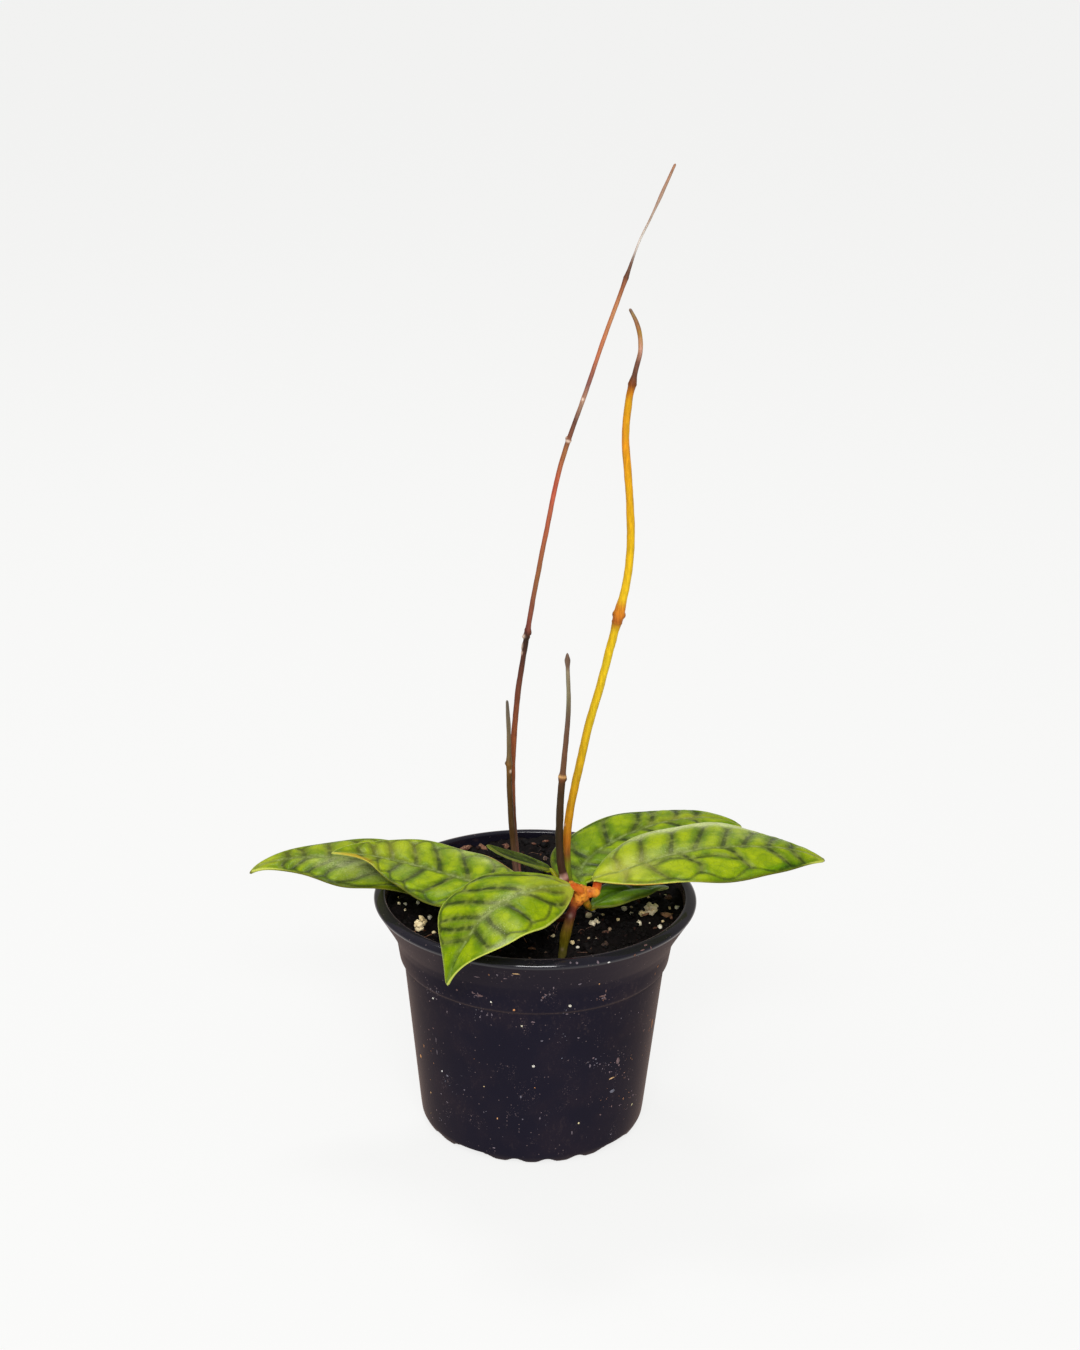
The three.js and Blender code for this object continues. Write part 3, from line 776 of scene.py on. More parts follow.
def grain_look():
    """Dry grains of peat, sand and perlite, from white over orange to brown and grey."""
    look = Look("loose_grain")
    stops = [
        (0.0, paint(246, 246, 242)), (0.25, paint(232, 220, 170)), (0.42, paint(224, 156, 96)),
        (0.55, paint(112, 76, 62)), (0.7, paint(126, 106, 114)), (1.0, paint(110, 114, 130)),
    ]
    shade = look.mix(look.noise(0.25, 3), (0.55, 0.52, 0.5), (1, 1, 1))
    colour = look.tinted(1.0, look.ramp(look.value("tint"), stops), shade)
    return look.finish(Base_Color=colour, Roughness=0.85, Normal=look.bump(look.noise(0.12, 2), 0.03))


class HOYA_OT_pot(bpy.types.Operator):
    """Build the pot with its scalloped foot, drain holes and the grains stuck to it"""

    bl_idname = "hoya.pot"
    bl_label = "Pot"

    def execute(self, context):
        settings = context.scene.hoya_pot
        points, faces = self.body()
        shell = Shape()
        shell.add(points, faces)
        cutter = bpy.data.objects.new("drills", self.drills().mesh("drills"))
        context.scene.collection.objects.link(cutter)
        mesh = applied(
            shell.mesh("pot"), "BOOLEAN", operation="DIFFERENCE", object=cutter, solver="MANIFOLD")
        bpy.data.objects.remove(cutter)
        mesh.set_sharp_from_angle(angle=SHARP_ANGLE)
        show("pot", mesh, pot_look(settings), ["nursery_pot"])
        tree = BVHTree.FromPolygons(points.tolist(), [face for group in faces for face in group.tolist()])
        grains = self.grains(tree, settings)
        show("pot_grains", grains.mesh("pot_grains"), grain_look())
        return {"FINISHED"}

    @staticmethod
    def body():
        """Points and faces of the pot before its drain holes are cut."""
        outline = filled_in(rounded((*POT_OUTSIDE, *POT_INSIDE), CORNER_RADIUS))
        underside = [(radius, 0) for radius in UNDERSIDE_RADII]
        floor = [(radius, FLOOR_TOP) for radius in reversed(UNDERSIDE_RADII)]
        points, faces = lathe(np.vstack([underside, outline, floor]), POT_SIDES)
        return scalloped(points), faces

    @staticmethod
    def drills():
        """Plain cylinders where the drain holes are cut."""
        low, high = DRILL_ENDS
        profile = [(0, low), (DRAIN_RADIUS, low), (DRAIN_RADIUS, high), (0, high)]
        points, faces = lathe(profile, DRILL_SIDES)
        drills = Shape()
        for index in range(DRAIN_HOLES):
            angle = index / DRAIN_HOLES * 2 * math.pi
            centre = np.array([DRAIN_CIRCLE * math.cos(angle), DRAIN_CIRCLE * math.sin(angle), 0])
            drills.add(points + centre, faces)
        return drills

    @staticmethod
    def grains(tree, settings):
        """Grains that the photograph shows, set by its pixels, and others by chance."""
        draw = np.random.default_rng(SEEDS["pot_grains"])
        grains = Shape()
        round_points, round_faces = ball(1)
        marks = []
        for right, down, width, height, tint in POT_MARKS:
            spot, normal = tree.ray_cast(camera_place(), sight_line((right, down)))[:2]
            if spot is None:
                raise RuntimeError(f"the grain at pixel {right}, {down} misses the pot")
            marks.append((spot, normal, width, height, tint))
        for right, down, reach, drop, count, tint in POT_FLECKS:
            for _ in range(count):
                pixel = (right + reach * draw.normal() * FLECK_SPREAD,
                         down + drop * draw.normal() * FLECK_SPREAD)
                spot, normal = tree.ray_cast(camera_place(), sight_line(pixel))[:2]
                if spot is not None and spot.xy.length > FOOT_RADIUS:
                    width = 0.16 + 0.45 * draw.random() ** 2
                    tall = width * draw.uniform(0.4, 1.6)
                    marks.append((spot, normal, width, tall, tint + draw.uniform(-0.12, 0.12)))
        for _ in range(settings.grains):
            angle = draw.uniform(0, 2 * math.pi)
            height = between(GRAIN_HEIGHTS, draw.random() ** 0.8)
            away = Vector((math.cos(angle), math.sin(angle), 0))
            spot, normal = tree.ray_cast(away * BEYOND_POT + Vector((0, 0, height)), -away)[:2]
            size = 0.22 + 0.4 * draw.random() ** 3
            marks.append((spot, normal, size, size * draw.uniform(0.6, 1.6), draw.uniform(0.35, 1)))
        for spot, normal, width, height, tint in marks:
            if normal.dot(Vector((spot.x, spot.y, 0))) < 0:
                normal = -normal
            side = Vector(UPWARD).cross(normal).normalized()
            upward = normal.cross(side)
            rough = roughened(round_points, GRAIN_ROUGHNESS, 1.5, draw)
            size = np.array([width * GRAIN_HALF, height * GRAIN_HALF, min(width, height) * GRAIN_DEPTH])
            axes = np.array([side, upward, normal])
            grains.add(np.array(spot) + (rough * size) @ axes, [round_faces], tint=tint)
        return grains


# Soil

SOIL_LEVEL = 75.8
SOIL_SLOPE = 0.045
SOIL_BOTTOM = 3.75
SOIL_BOTTOM_RADIUS = 32.6
SOIL_EDGE_RADIUS = 48.3
SOIL_SIDES = 300
SOIL_RINGS = 96
SOIL_TOP_MARK = 99
SOIL_WALL = (5, 72)
# Lumps of the surface, as height, shift and size
SOIL_LUMPS = ((0.55, 0, 3.1), (0.4, 7, 1.4), (0.2, 3, 0.7))
SCATTER_RADIUS = 47.0
ABOVE_SOIL = 100
GAP = 0.35
CHIPS_BY_CHANCE = 18
FIBRES_BY_CHANCE = 32

# Perlite that the photograph shows, as x, y, width and a tint from 0, white, to 1, tan
PERLITE = (
    (14, -4, 2.4, 0.3), (17.4, -7.6, 3, 0.3), (18.5, -13.9, 3, 0.25), (22, -6, 1.4, 0.6),
    (29, -2.4, 2.6, 0.15), (31.4, -5.1, 1.8, 0.2), (34.6, -8, 3, 0.55), (37.4, -8.3, 4.4, 0.3),
    (33.5, -11.9, 2.4, 0.2), (40.2, -14.6, 2.2, 0.1), (46, -3, 2, 0.1), (12, -26, 2.2, 0.5),
    (13.6, -28.6, 1.6, 0.1), (-36, -14.4, 3.6, 0.45), (-36.9, -18.3, 4, 0.35),
    (-33.8, -11.8, 2, 0.1), (-38, -3.8, 1.6, 0.1), (-42.2, -3.2, 1.6, 0.1), (-32, -22.6, 1.8, 0.4),
    (21, -6.1, 1.2, 0.0), (20.2, -9.8, 0.9, 0.2), (26.8, -10, 1.5, 0.5), (5.9, -21.5, 1.9, 0.35),
    (14, -24.4, 1, 0.8), (17.2, -24.4, 1.2, 0.8), (19.5, -23.2, 1, 0.2), (23.9, -18.4, 2, 0.9),
    (-44.1, -5.2, 1.4, 0.3), (43.6, -4, 1.4, 0.7), (38.1, 2.1, 1.2, 0.3), (42.5, 5.7, 1, 0.2),
)
# Bark chips that the photograph shows, as x, y, width and a tint from 0, red brown, to 1, tan
BARK = (
    (42.6, -6, 5, 0.8), (44, -8.4, 3, 0.5), (-0.8, -30, 3, 0.6), (23, -20, 3.6, 0.2),
    (-24, 39, 6, 0.4), (-18, 42, 5, 0.6), (-10, 43, 4, 0.5), (-28, 36, 4, 0.3), (3, 44, 3, 0.5),
    (35.6, -9.6, 2.4, 0.7),
)


def soil_height(x, y):
    """The soil's surface, lumps and all."""
    broad = np.sin(0.16 * x + 1.3) * np.cos(0.13 * y + 0.4)
    small = np.sin(0.45 * x - 0.31 * y + 2) + np.sin(0.37 * y + 0.62 * x)
    fine = np.sin(1.1 * x + 0.9 * y) * np.cos(0.95 * y - 0.7 * x)
    return SOIL_LEVEL + SOIL_SLOPE * y + 0.7 * broad + 0.45 * small + 0.35 * fine


def soil_look(settings):
    """Dark wet peat with brown fibres and a few dull glints."""
    look = Look("potting_peat")
    clod = look.noise(1.6, 5, 0.7)
    fleck = look.noise(0.45, 3, 0.7)
    brown = look.rise(clod * 0.5 + fleck * 0.5, 0.56, 0.68)
    darker = [level * 0.35 for level in settings.peat]
    colour = look.mix(look.rise(clod, 0.35, 0.65), darker, settings.peat)
    colour = look.mix(brown * 0.5, colour, paint(60, 34, 26))
    pale = look.rise(look.noise(0.6, 2, 0.5), 0.74, 0.8)
    colour = look.mix(pale * 0.6, colour, paint(130, 104, 82))
    return look.finish(Base_Color=colour, Roughness=0.62 + fleck * 0.3, Specular_IOR_Level=0.12,
                       Normal=look.bump(clod * 0.7 + fleck * 0.3, 0.5))


def crumb_look(settings):
    """Crumbs of peat, from black brown to red brown and tan."""
    look = Look("peat_crumb")
    stops = [
        (0.0, [level * 0.4 for level in settings.peat]), (0.8, settings.peat[:]),
        (0.92, paint(46, 26, 22)), (0.98, paint(84, 46, 32)), (1.0, paint(124, 82, 52)),
    ]
    shade = look.mix(look.noise(0.5, 3), (0.5, 0.5, 0.5), (1.2, 1.15, 1.1))
    colour = look.tinted(1.0, look.ramp(look.value("tint"), stops), shade)
    return look.finish(Base_Color=colour, Roughness=0.7, Specular_IOR_Level=0.15,
                       Normal=look.bump(look.noise(0.2, 3), 0.12))


def perlite_look(settings):
    """Chalky white grains with dirt in their pores."""
    look = Look("perlite_grain")
    tint = look.value("tint")
    colour = look.mix(look.rise(tint, 0, 0.5), paint(255, 249, 228), settings.perlite)
    colour = look.mix(look.rise(tint, 0.5, 1.0), colour, paint(140, 112, 92))
    pores = look.rise(look.cells(0.8), 0.36, 0.16)
    dirt = look.rise(look.noise(0.9, 3, 0.7), 0.54, 0.7)
    colour = look.mix(dirt * 0.45 + pores * 0.3, colour, paint(132, 88, 46))
    return look.finish(Base_Color=colour, Roughness=0.85,
                       Normal=look.bump(look.noise(0.3, 3) - pores * 0.6, 0.14))


def bark_chip_look():
    """Red-brown bark with pale broken edges."""
    look = Look("bark_chip")
    stops = [(0.0, paint(46, 24, 20)), (0.5, paint(100, 54, 34)), (1.0, paint(168, 122, 84))]
    layer = look.noise(0.5, 4, 0.7, look.scaled(look.mm, (1, 0.3, 3)))
    colour = look.ramp(look.value("tint"), stops)
    colour = look.mix(look.rise(layer, 0.5, 0.72) * 0.7, colour, paint(206, 170, 130))
    colour = look.mix(look.rise(layer, 0.45, 0.3) * 0.8, colour, paint(24, 14, 12))
    return look.finish(Base_Color=colour, Roughness=0.75, Normal=look.bump(layer, 0.2))


class HOYA_OT_soil(bpy.types.Operator):
    """Fill the pot with peat, crumbs, perlite, bark chips and fibres"""

    bl_idname = "hoya.soil"
    bl_label = "Soil"

    def execute(self, context):
        settings = context.scene.hoya_soil
        body = self.body()
        show("soil", body.mesh("soil"), soil_look(settings), ["potting_soil"])
        self.ground = BVHTree.FromPolygons(np.vstack(body.points).tolist(), body.faces)
        for name, shape, look in (
            ("soil_crumbs", self.crumbs(settings), crumb_look(settings)),
            ("perlite", self.perlite(settings), perlite_look(settings)),
            ("bark_chips", self.bark_chips(), bark_chip_look()),
            ("soil_fibres", self.fibres(), bark_chip_look()),
        ):
            show(name, shape.mesh(name), look)
        return {"FINISHED"}

    @staticmethod
    def body():
        """The filling: a closed body whose top is a fine crumbly field. The top's rings are turned
        as shares of the pot's inner radius at a marked height, and get their places after that."""
        low, high = SOIL_WALL
        walls = [(radius - GAP, height) for radius, height in reversed(POT_INSIDE) if low < height < high]
        rings = [(1.0 - ring / SOIL_RINGS, SOIL_TOP_MARK) for ring in range(SOIL_RINGS)]
        bottom = [(0, SOIL_BOTTOM), (SOIL_BOTTOM_RADIUS, SOIL_BOTTOM)]
        points, faces = lathe([*bottom, *walls, *rings, (0, SOIL_TOP_MARK)], SOIL_SIDES)
        x, y, z = points.T
        top = z == SOIL_TOP_MARK
        share = np.hypot(x, y)
        direction = np.stack([x, y], axis=1) / np.maximum(share, 1e-9)[:, None]
        edge_height = soil_height(*(direction.T * SOIL_EDGE_RADIUS))
        reach = (inside_radius(edge_height) - GAP) * share
        flat = np.where(top[:, None], direction * reach[:, None], points[:, :2])
        height = soil_height(flat[:, 0], flat[:, 1])
        here = np.column_stack([flat, np.zeros(len(flat))])
        lumps = Lumps(SEEDS["soil"])
        rough = sum(height * lumps(here + shift, size) for height, shift, size in SOIL_LUMPS)
        height = height + rough * rise(1.0, 0.97, share)
        shape = Shape()
        shape.add(np.column_stack([flat, np.where(top, height, z)]), faces)
        return shape

    def on_ground(self, x, y):
        """The height of the crumbly surface at a place, or none outside it."""
        spot = self.ground.ray_cast(Vector((x, y, ABOVE_SOIL)), Vector((0, 0, -1)))[0]
        return None if spot is None else spot.z

    @staticmethod
    def scatter(count, kind, largest):
        """Places spread evenly by chance over the soil, clear of the pot's wall, and the draw."""
        draw = np.random.default_rng(SEEDS[kind])
        places = []
        for _ in range(count):
            radius = (SCATTER_RADIUS - largest / 2) * math.sqrt(draw.random())
            angle = draw.uniform(0, 2 * math.pi)
            places.append((radius * math.cos(angle), radius * math.sin(angle)))
        return places, draw

    def lay(self, shape, form, place, size, draw, sink, **values):
        """Lays one lumpy grain on the soil, turned by chance."""
        points, faces = form
        height = self.on_ground(*place)
        if height is None:
            raise RuntimeError(f"a grain at {place} lies off the soil")
        rough = roughened(points, 0.2, 1.6, draw)
        tilt = Matrix.Rotation(draw.normal(0, 0.3), 3, "X") @ Matrix.Rotation(draw.normal(0, 0.3), 3, "Y")
        grain = turned_about_z((rough * size) @ np.array(tilt), draw.uniform(0, 2 * math.pi))
        shape.add(grain + (place[0], place[1], height + size[2] * sink), [faces], **values)

    def crumbs(self, settings):
        """Loose crumbs of peat."""
        places, draw = self.scatter(settings.crumbs, "crumbs", 2.4)
        shape = Shape()
        form = ball(1)
        for place in places:
            width = 0.45 + 1.1 * draw.random() ** 2.2
            size = np.array([width, width * draw.uniform(0.5, 1), width * draw.uniform(0.4, 0.8)])
            self.lay(shape, form, place, size, draw, 0.35, tint=draw.random())
        return shape

    def perlite(self, settings):
        """Perlite: the grains that the photograph shows, and small ones by chance."""
        places, draw = self.scatter(settings.small_grains, "perlite", 1.6)
        shape = Shape()
        form = ball(2)
        for x, y, width, tint in PERLITE:
            size = width / 2 * np.array([0.8, draw.uniform(0.6, 0.8), draw.uniform(0.55, 0.75)])
            self.lay(shape, form, (x, y), size, draw, 0.55, tint=tint)
            for _ in range(max(0, round((width - 2.6) * 4))):
                aside = draw.normal(0, width * 0.22, 2)
                knob = width * draw.uniform(0.14, 0.26) * np.array([1, 0.8, 0.9])
                self.lay(shape, form, (x + aside[0], y + aside[1]), knob, draw, 2.6, tint=tint)
        for place in places:
            size = draw.uniform(0.25, 0.75) * np.array([1, draw.uniform(0.6, 1), draw.uniform(0.6, 0.9)])
            self.lay(shape, form, place, size, draw, 0.5, tint=draw.uniform(0, 0.8))
        return shape

    def bark_chips(self):
        """Flat angular chips of bark."""
        places, draw = self.scatter(CHIPS_BY_CHANCE, "bark", 4)
        shape = Shape()
        form = ball(1)
        chips = [*BARK]
        chips += [(x, y, draw.uniform(1.5, 3.2), 0.7 * draw.random() ** 2) for x, y in places]
        for x, y, width, tint in chips:
            size = width / 2 * np.array([1.1, draw.uniform(0.45, 0.8), draw.uniform(0.2, 0.35)])
            self.lay(shape, form, (x, y), size, draw, 0.7, tint=tint)
        return shape

    def fibres(self):
        """Short bent fibres that lie on the peat."""
        places, draw = self.scatter(FIBRES_BY_CHANCE, "fibres", 8)
        shape = Shape()
        for x, y in places:
            angle = draw.uniform(0, 2 * math.pi)
            bend = draw.normal(0, 0.9)
            length = draw.uniform(2, 6)
            line = []
            for share in (-0.5, -0.2, 0.15, 0.5):
                turn = angle + bend * share
                px, py = x + length * share * math.cos(turn), y + length * share * math.sin(turn)
                line.append((px, py, self.on_ground(px, py) + draw.uniform(0.05, 0.5)))
            path = evenly(smooth_path(line, 6), 0.4)
            points, faces, *_ = tube(path, np.full(len(path), draw.uniform(0.07, 0.16)), 6, UPWARD, 0.1)
            shape.add(points, faces, tint=draw.uniform(0, 0.55))
        return shape


# Stems: route, thickness as (share of the length, radius) steps, colours as (share, red, green,
# blue), rings as (share, height), and markings as (share, degrees round to the right, length,
# width, height, kind). side_shade is painted shade (below 1) and painted light (above 1) on the
# side to the viewer's left, and glow shows in patches.

STEMS = {
    "tall_vine": dict(
        points=(
            (-3.6, 13, 50), (-5.1, 13, 75), (-6.5, 13, 89.2), (-7.6, 12.3, 102), (-8, 11.5, 121.6),
            (-6.8, 10.5, 143), (-4.2, 10, 163.2), (-1.7, 10, 180), (1.9, 10.3, 200.8),
            (5, 11, 217.6), (8, 12, 228.6), (13.3, 13.5, 244.3), (18.2, 15, 259.8),
            (23.5, 17.5, 274.9), (28.7, 19.5, 290), (32.2, 21, 297.4), (39.1, 24, 313)),
        thickness=(
            (0, 1), (0.3, 0.95), (0.42, 0.85), (0.43, 1.1), (0.44, 0.8), (0.67, 0.75), (0.68, 0.7),
            (0.85, 0.65), (0.86, 0.8), (0.875, 0.5), (0.89, 0.35), (0.94, 0.35), (0.96, 0.55), (1, 0.4)),
        colours=(
            (0.12, 148, 100, 88), (0.16, 104, 74, 58), (0.21, 108, 60, 38), (0.29, 150, 84, 52),
            (0.37, 104, 60, 46), (0.41, 62, 38, 28), (0.425, 54, 36, 26), (0.44, 118, 62, 56),
            (0.50, 150, 98, 62), (0.57, 168, 88, 62), (0.61, 186, 90, 68), (0.65, 158, 104, 64),
            (0.67, 122, 76, 56), (0.69, 104, 70, 58), (0.715, 176, 140, 118), (0.735, 128, 84, 78),
            (0.77, 186, 112, 78), (0.82, 188, 130, 88), (0.85, 148, 92, 62), (0.864, 92, 60, 44),
            (0.88, 120, 90, 76), (0.905, 212, 208, 202), (0.93, 168, 150, 136), (1, 164, 120, 92)),
        rings=((0.424, 0.22), (0.433, 0.1), (0.666, 0.2), (0.862, 0.1)),
        marks=(
            (0.665, 0, 0.9, 3.0, 0.1, "pale"), (0.425, -70, 1.6, 1.0, 0.35, "pale"),
            (0.412, -85, 2.6, 0.8, 0.3, "pale"), (0.404, -60, 1.4, 0.6, 0.2, "pale"),
            (0.43, 60, 1.6, 1.0, 0.4, "dark"), (0.716, -20, 0.9, 1.0, 0.12, "pale"),
            (0.668, -90, 0.8, 0.8, 0.45, "pale"), (0.3, 40, 2, 0.5, 0.0, "dark")),
        side_shade=(0.78, 0.62, 0.56), glow=(176, 104, 70), slot="red_bark", sides=16),
    "left_stub": dict(
        points=(
            (-4.4, 9.6, 56), (-5.7, 10.1, 76.4), (-6.8, 10, 86.2), (-7.9, 9.5, 97.8),
            (-8.8, 8.7, 111.6), (-9.1, 8.3, 122.2), (-9.3, 8, 131.7), (-10, 7.5, 143.9)),
        thickness=((0, 1), (0.5, 0.95), (0.72, 0.85), (0.75, 1.05), (0.78, 0.75), (0.95, 0.65), (1, 0.4)),
        colours=(
            (0.25, 126, 96, 84), (0.45, 78, 54, 28), (0.6, 84, 58, 28), (0.7, 92, 64, 30),
            (0.74, 120, 84, 42), (0.78, 112, 92, 62), (0.9, 112, 98, 78), (1, 98, 90, 82)),
        rings=((0.745, 0.14),),
        marks=((0.72, 30, 1.2, 0.8, 0.15, "pale"), (0.75, -80, 1.2, 0.8, 0.3, "dark")),
        side_shade=(1.15, 1.15, 1.1), glow=(96, 84, 60), slot="dark_bark", sides=16),
    "middle_stub": dict(
        points=(
            (9.6, -28.2, 96), (9.2, -28.5, 98), (8.2, -28.5, 101.4), (7.4, -28.5, 107.9),
            (7.2, -28.8, 116.5), (7.5, -29, 127.8), (7.8, -29.2, 132.9), (8.7, -29, 145.1),
            (9.3, -28.5, 156.7), (9, -28, 164.4), (8.6, -27.5, 173)),
        thickness=(
            (0, 1.35), (0.08, 1.25), (0.3, 1.15), (0.46, 1.05), (0.48, 1.3), (0.5, 0.95), (0.85, 0.65),
            (0.94, 0.6), (0.97, 0.92), (1, 0.25)),
        colours=(
            (0.0, 110, 56, 34), (0.026, 116, 66, 50), (0.036, 178, 136, 126), (0.05, 158, 118, 106),
            (0.062, 66, 40, 30), (0.2, 48, 34, 18), (0.4, 60, 40, 20), (0.455, 74, 46, 24),
            (0.475, 112, 66, 36), (0.485, 196, 150, 96), (0.495, 104, 70, 48), (0.6, 104, 70, 50),
            (0.72, 98, 74, 60), (0.82, 120, 110, 82), (0.92, 136, 122, 98), (0.945, 112, 88, 72),
            (1, 102, 78, 64)),
        rings=((0.482, 0.12), (0.47, 0.06)),
        marks=((0.47, 80, 1.2, 0.8, 0.25, "dark"), (0.035, -60, 1.6, 1.0, 0.3, "pale")),
        side_shade=(1.1, 1.25, 1.35), glow=(72, 54, 36), slot="dark_bark", sides=16),
    "yellow_vine": dict(
        points=(
            (10.8, -26.6, 93.9), (10.2, -25.4, 97), (9.7, -24.9, 101), (9.6, -24.8, 106.3),
            (9.9, -24.5, 114.7), (11.1, -24.3, 124.1), (13.4, -24, 136.2), (15.7, -24, 148.2),
            (18.7, -24, 160.1), (21.3, -24.3, 172), (24, -25, 184.6), (26.1, -25.6, 195.7),
            (27, -26.3, 207.3), (26.5, -27, 218.8), (25.5, -28, 230.2), (24.5, -28.8, 241.5),
            (25.2, -29.3, 252.6), (26, -29.3, 257.4), (27.3, -29, 263.3), (28.2, -28.3, 267.7),
            (28, -27.5, 271.6), (26.8, -26.6, 275.6), (24.8, -25.5, 279.3)),
        thickness=(
            (0, 1.4), (0.06, 1.25), (0.46, 1.25), (0.478, 1.55), (0.5, 1.6), (0.52, 1.25),
            (0.7, 1.15), (0.8, 1.1), (0.867, 1.05), (0.88, 1.2), (0.893, 0.75), (0.97, 0.65), (1, 0.45)),
        colours=(
            (0.0, 190, 90, 30), (0.012, 104, 112, 22), (0.03, 96, 120, 14), (0.046, 112, 116, 24),
            (0.062, 134, 84, 34), (0.085, 182, 108, 26), (0.12, 196, 134, 16), (0.25, 208, 168, 16),
            (0.4, 220, 186, 22), (0.462, 218, 180, 20), (0.478, 158, 84, 20), (0.49, 206, 122, 30),
            (0.505, 206, 132, 28), (0.52, 226, 186, 26), (0.6, 222, 178, 12), (0.72, 218, 158, 10),
            (0.79, 224, 146, 20), (0.85, 204, 150, 10), (0.866, 190, 116, 12), (0.878, 120, 62, 20),
            (0.893, 98, 62, 46), (0.915, 116, 78, 64), (0.935, 190, 142, 122), (0.96, 156, 104, 62),
            (1, 118, 94, 80)),
        rings=((0.476, 0.14), (0.878, 0.12)),
        marks=(
            (0.49, 90, 1.8, 1.5, 0.45, "dark"), (0.49, -90, 1.8, 1.5, 0.4, "dark"),
            (0.113, -60, 1.0, 0.7, 0.15, "pale")),
        side_shade=(0.8, 0.72, 0.5), glow=(190, 176, 20), slot="yellow_bark", sides=20),
}
MARK_STEEPNESS = 1.6
RING_REACH = 0.35
STEM_SPACING = 0.3
# Shares of its neighbours that smooth out a stem's thickness
SOFTENING = (0.1, 0.2, 0.4, 0.2, 0.1)


def bark_look(name, stem):
    """Thin bark: colours along the length, streaks, painted shade and painted light on one side, and fine
    wrinkles.
    """
    look = Look(name)
    stops = [(place, paint(*levels)) for place, *levels in stem["colours"]]
    colour = look.ramp(look.value("run"), stops)
    streak = look.noise(0.5, 4, 0.65, look.scaled(look.mm, (1, 1, 0.12)))
    blotch = look.noise(3.2, 3, 0.6, look.scaled(look.mm, (1, 1, 0.35)))
    fleck = look.noise(0.3, 3, 0.7)
    shade = look.mix(look.rise(streak, 0.3, 0.7), (0.72, 0.7, 0.66), (1.1, 1.08, 1.05))
    colour = look.tinted(1.0, colour, shade)
    colour = look.mix(look.rise(blotch, 0.5, 0.75) * 0.35, colour, paint(*stem["glow"]))
    # Painted shade and light: side_shade darkens the side to the viewer's left on some stems and lightens
    # it on others
    left = look.rise(look.value("left"), -0.1, 0.95)
    colour = look.tinted(left * 0.75, colour, stem["side_shade"])
    colour = look.mix(look.value("pale") * 0.85, colour, paint(222, 196, 176))
    colour = look.tinted(look.value("dark") * 0.8, colour, (0.4, 0.3, 0.28))
    colour = look.tinted(look.rise(fleck, 0.66, 0.76) * 0.35, colour, (0.35, 0.28, 0.22))
    rough = 0.42 + streak * 0.2 + look.value("pale") * 0.25
    return look.finish(Base_Color=colour, Roughness=rough, Specular_IOR_Level=0.16,
                       Normal=look.bump(streak * 0.6 + fleck * 0.4, 0.05))


def stem_shape(stem, settings, seed):
    """A stem with wrinkles, node rings, leaf scars and flakes, and where each of them is."""
    path = evenly(smooth_path(stem["points"]), STEM_SPACING)
    sides = stem["sides"]
    length = lengths_along(path)[-1]
    run = np.linspace(0, 1, len(path))
    places, radii = zip(*stem["thickness"])
    radius = np.interp(run, places, radii)
    radius = np.convolve(np.pad(radius, len(SOFTENING) // 2, mode="edge"), SOFTENING, mode="valid")
    for place, height in stem["rings"]:
        radius = radius + height * np.exp(-(((run - place) * length / RING_REACH) ** 2))
    turn = np.arange(sides) / sides * 2 * math.pi
    everywhere = np.column_stack([
        np.repeat(run * length, sides) * 0.12,
        np.tile(np.cos(turn), len(run)) * 1.2,
        np.tile(np.sin(turn), len(run)) * 1.2,
    ])
    lumps = Lumps(seed)
    wrinkle = lumps(everywhere, 0.5) + 0.6 * lumps(everywhere * (4, 1, 1), 0.9)
    radius = radius[:, None] + settings.relief / MM * wrinkle.reshape(len(run), sides) * radius[:, None]
    kinds = {"pale": 0, "dark": 0}
    for place, degrees, high, wide, height, kind in stem["marks"]:
        away = (turn - math.radians(degrees) + math.pi) % (2 * math.pi) - math.pi
        up = (run[:, None] - place) * length / (high / 2)
        around = away[None, :] * radius.mean() / (wide / 2)
        share = np.exp(-((up ** 2 + around ** 2) ** MARK_STEEPNESS))
        radius = radius + height * share
        kinds[kind] = np.maximum(kinds[kind], share)
    points, faces, run, turn = tube(path, radius, sides)
    values = {"run": run, "left": -np.sin(turn)}
    for kind, share in kinds.items():
        values[kind] = np.r_[np.broadcast_to(share, radius.shape).ravel(), 0, 0]
    shape = Shape()
    shape.add(points, faces, **values)
    return shape


class HOYA_OT_vines(bpy.types.Operator):
    """Grow the tall vine, the yellow vine and the two short stubs"""

    bl_idname = "hoya.vines"
    bl_label = "Vines and stubs"

    def execute(self, context):
        settings = context.scene.hoya_stem
        for seed, (name, stem) in enumerate(STEMS.items(), start=SEEDS["stems"]):
            mesh = stem_shape(stem, settings, seed).mesh(name + "_skin")
            show(name + "_skin", mesh, bark_look(name + "_bark", stem), [name])
        return {"FINISHED"}


# The rooted stem, its crown and the arm behind it

ROOTED_STEM = (
    (5, -29, 48), (6.8, -31.5, 62), (8.9, -33.3, 75), (9.4, -33.5, 79.5), (10.2, -33.5, 83.8),
    (11.2, -33.3, 87.9), (12.4, -32.7, 91.5), (14.2, -32.2, 94.8),
)
ROOTED_THICKNESS = (
    (0, 1.1), (0.3, 1.2), (0.6, 1.35), (0.7, 1.75), (0.79, 1.6), (0.84, 1.6), (0.88, 1.35), (1, 1.9))
ARM = ((14.2, -32.2, 94.4), (12.4, -30.2, 95), (9.9, -27.2, 95.6))
ARM_THICKNESS = ((0, 2.2), (0.7, 2.0), (1, 1.8))
ROOTED_SIDES = 24
ROOTED_SPACING = 0.4
ROOTED_BLUNT = 1.2
ROOTED_FACING = (-1, -1, 1)
CROWN_CENTRE = (14.3, -32.2, 94.8)
CROWN_EDGE = (5.5, 2.5)
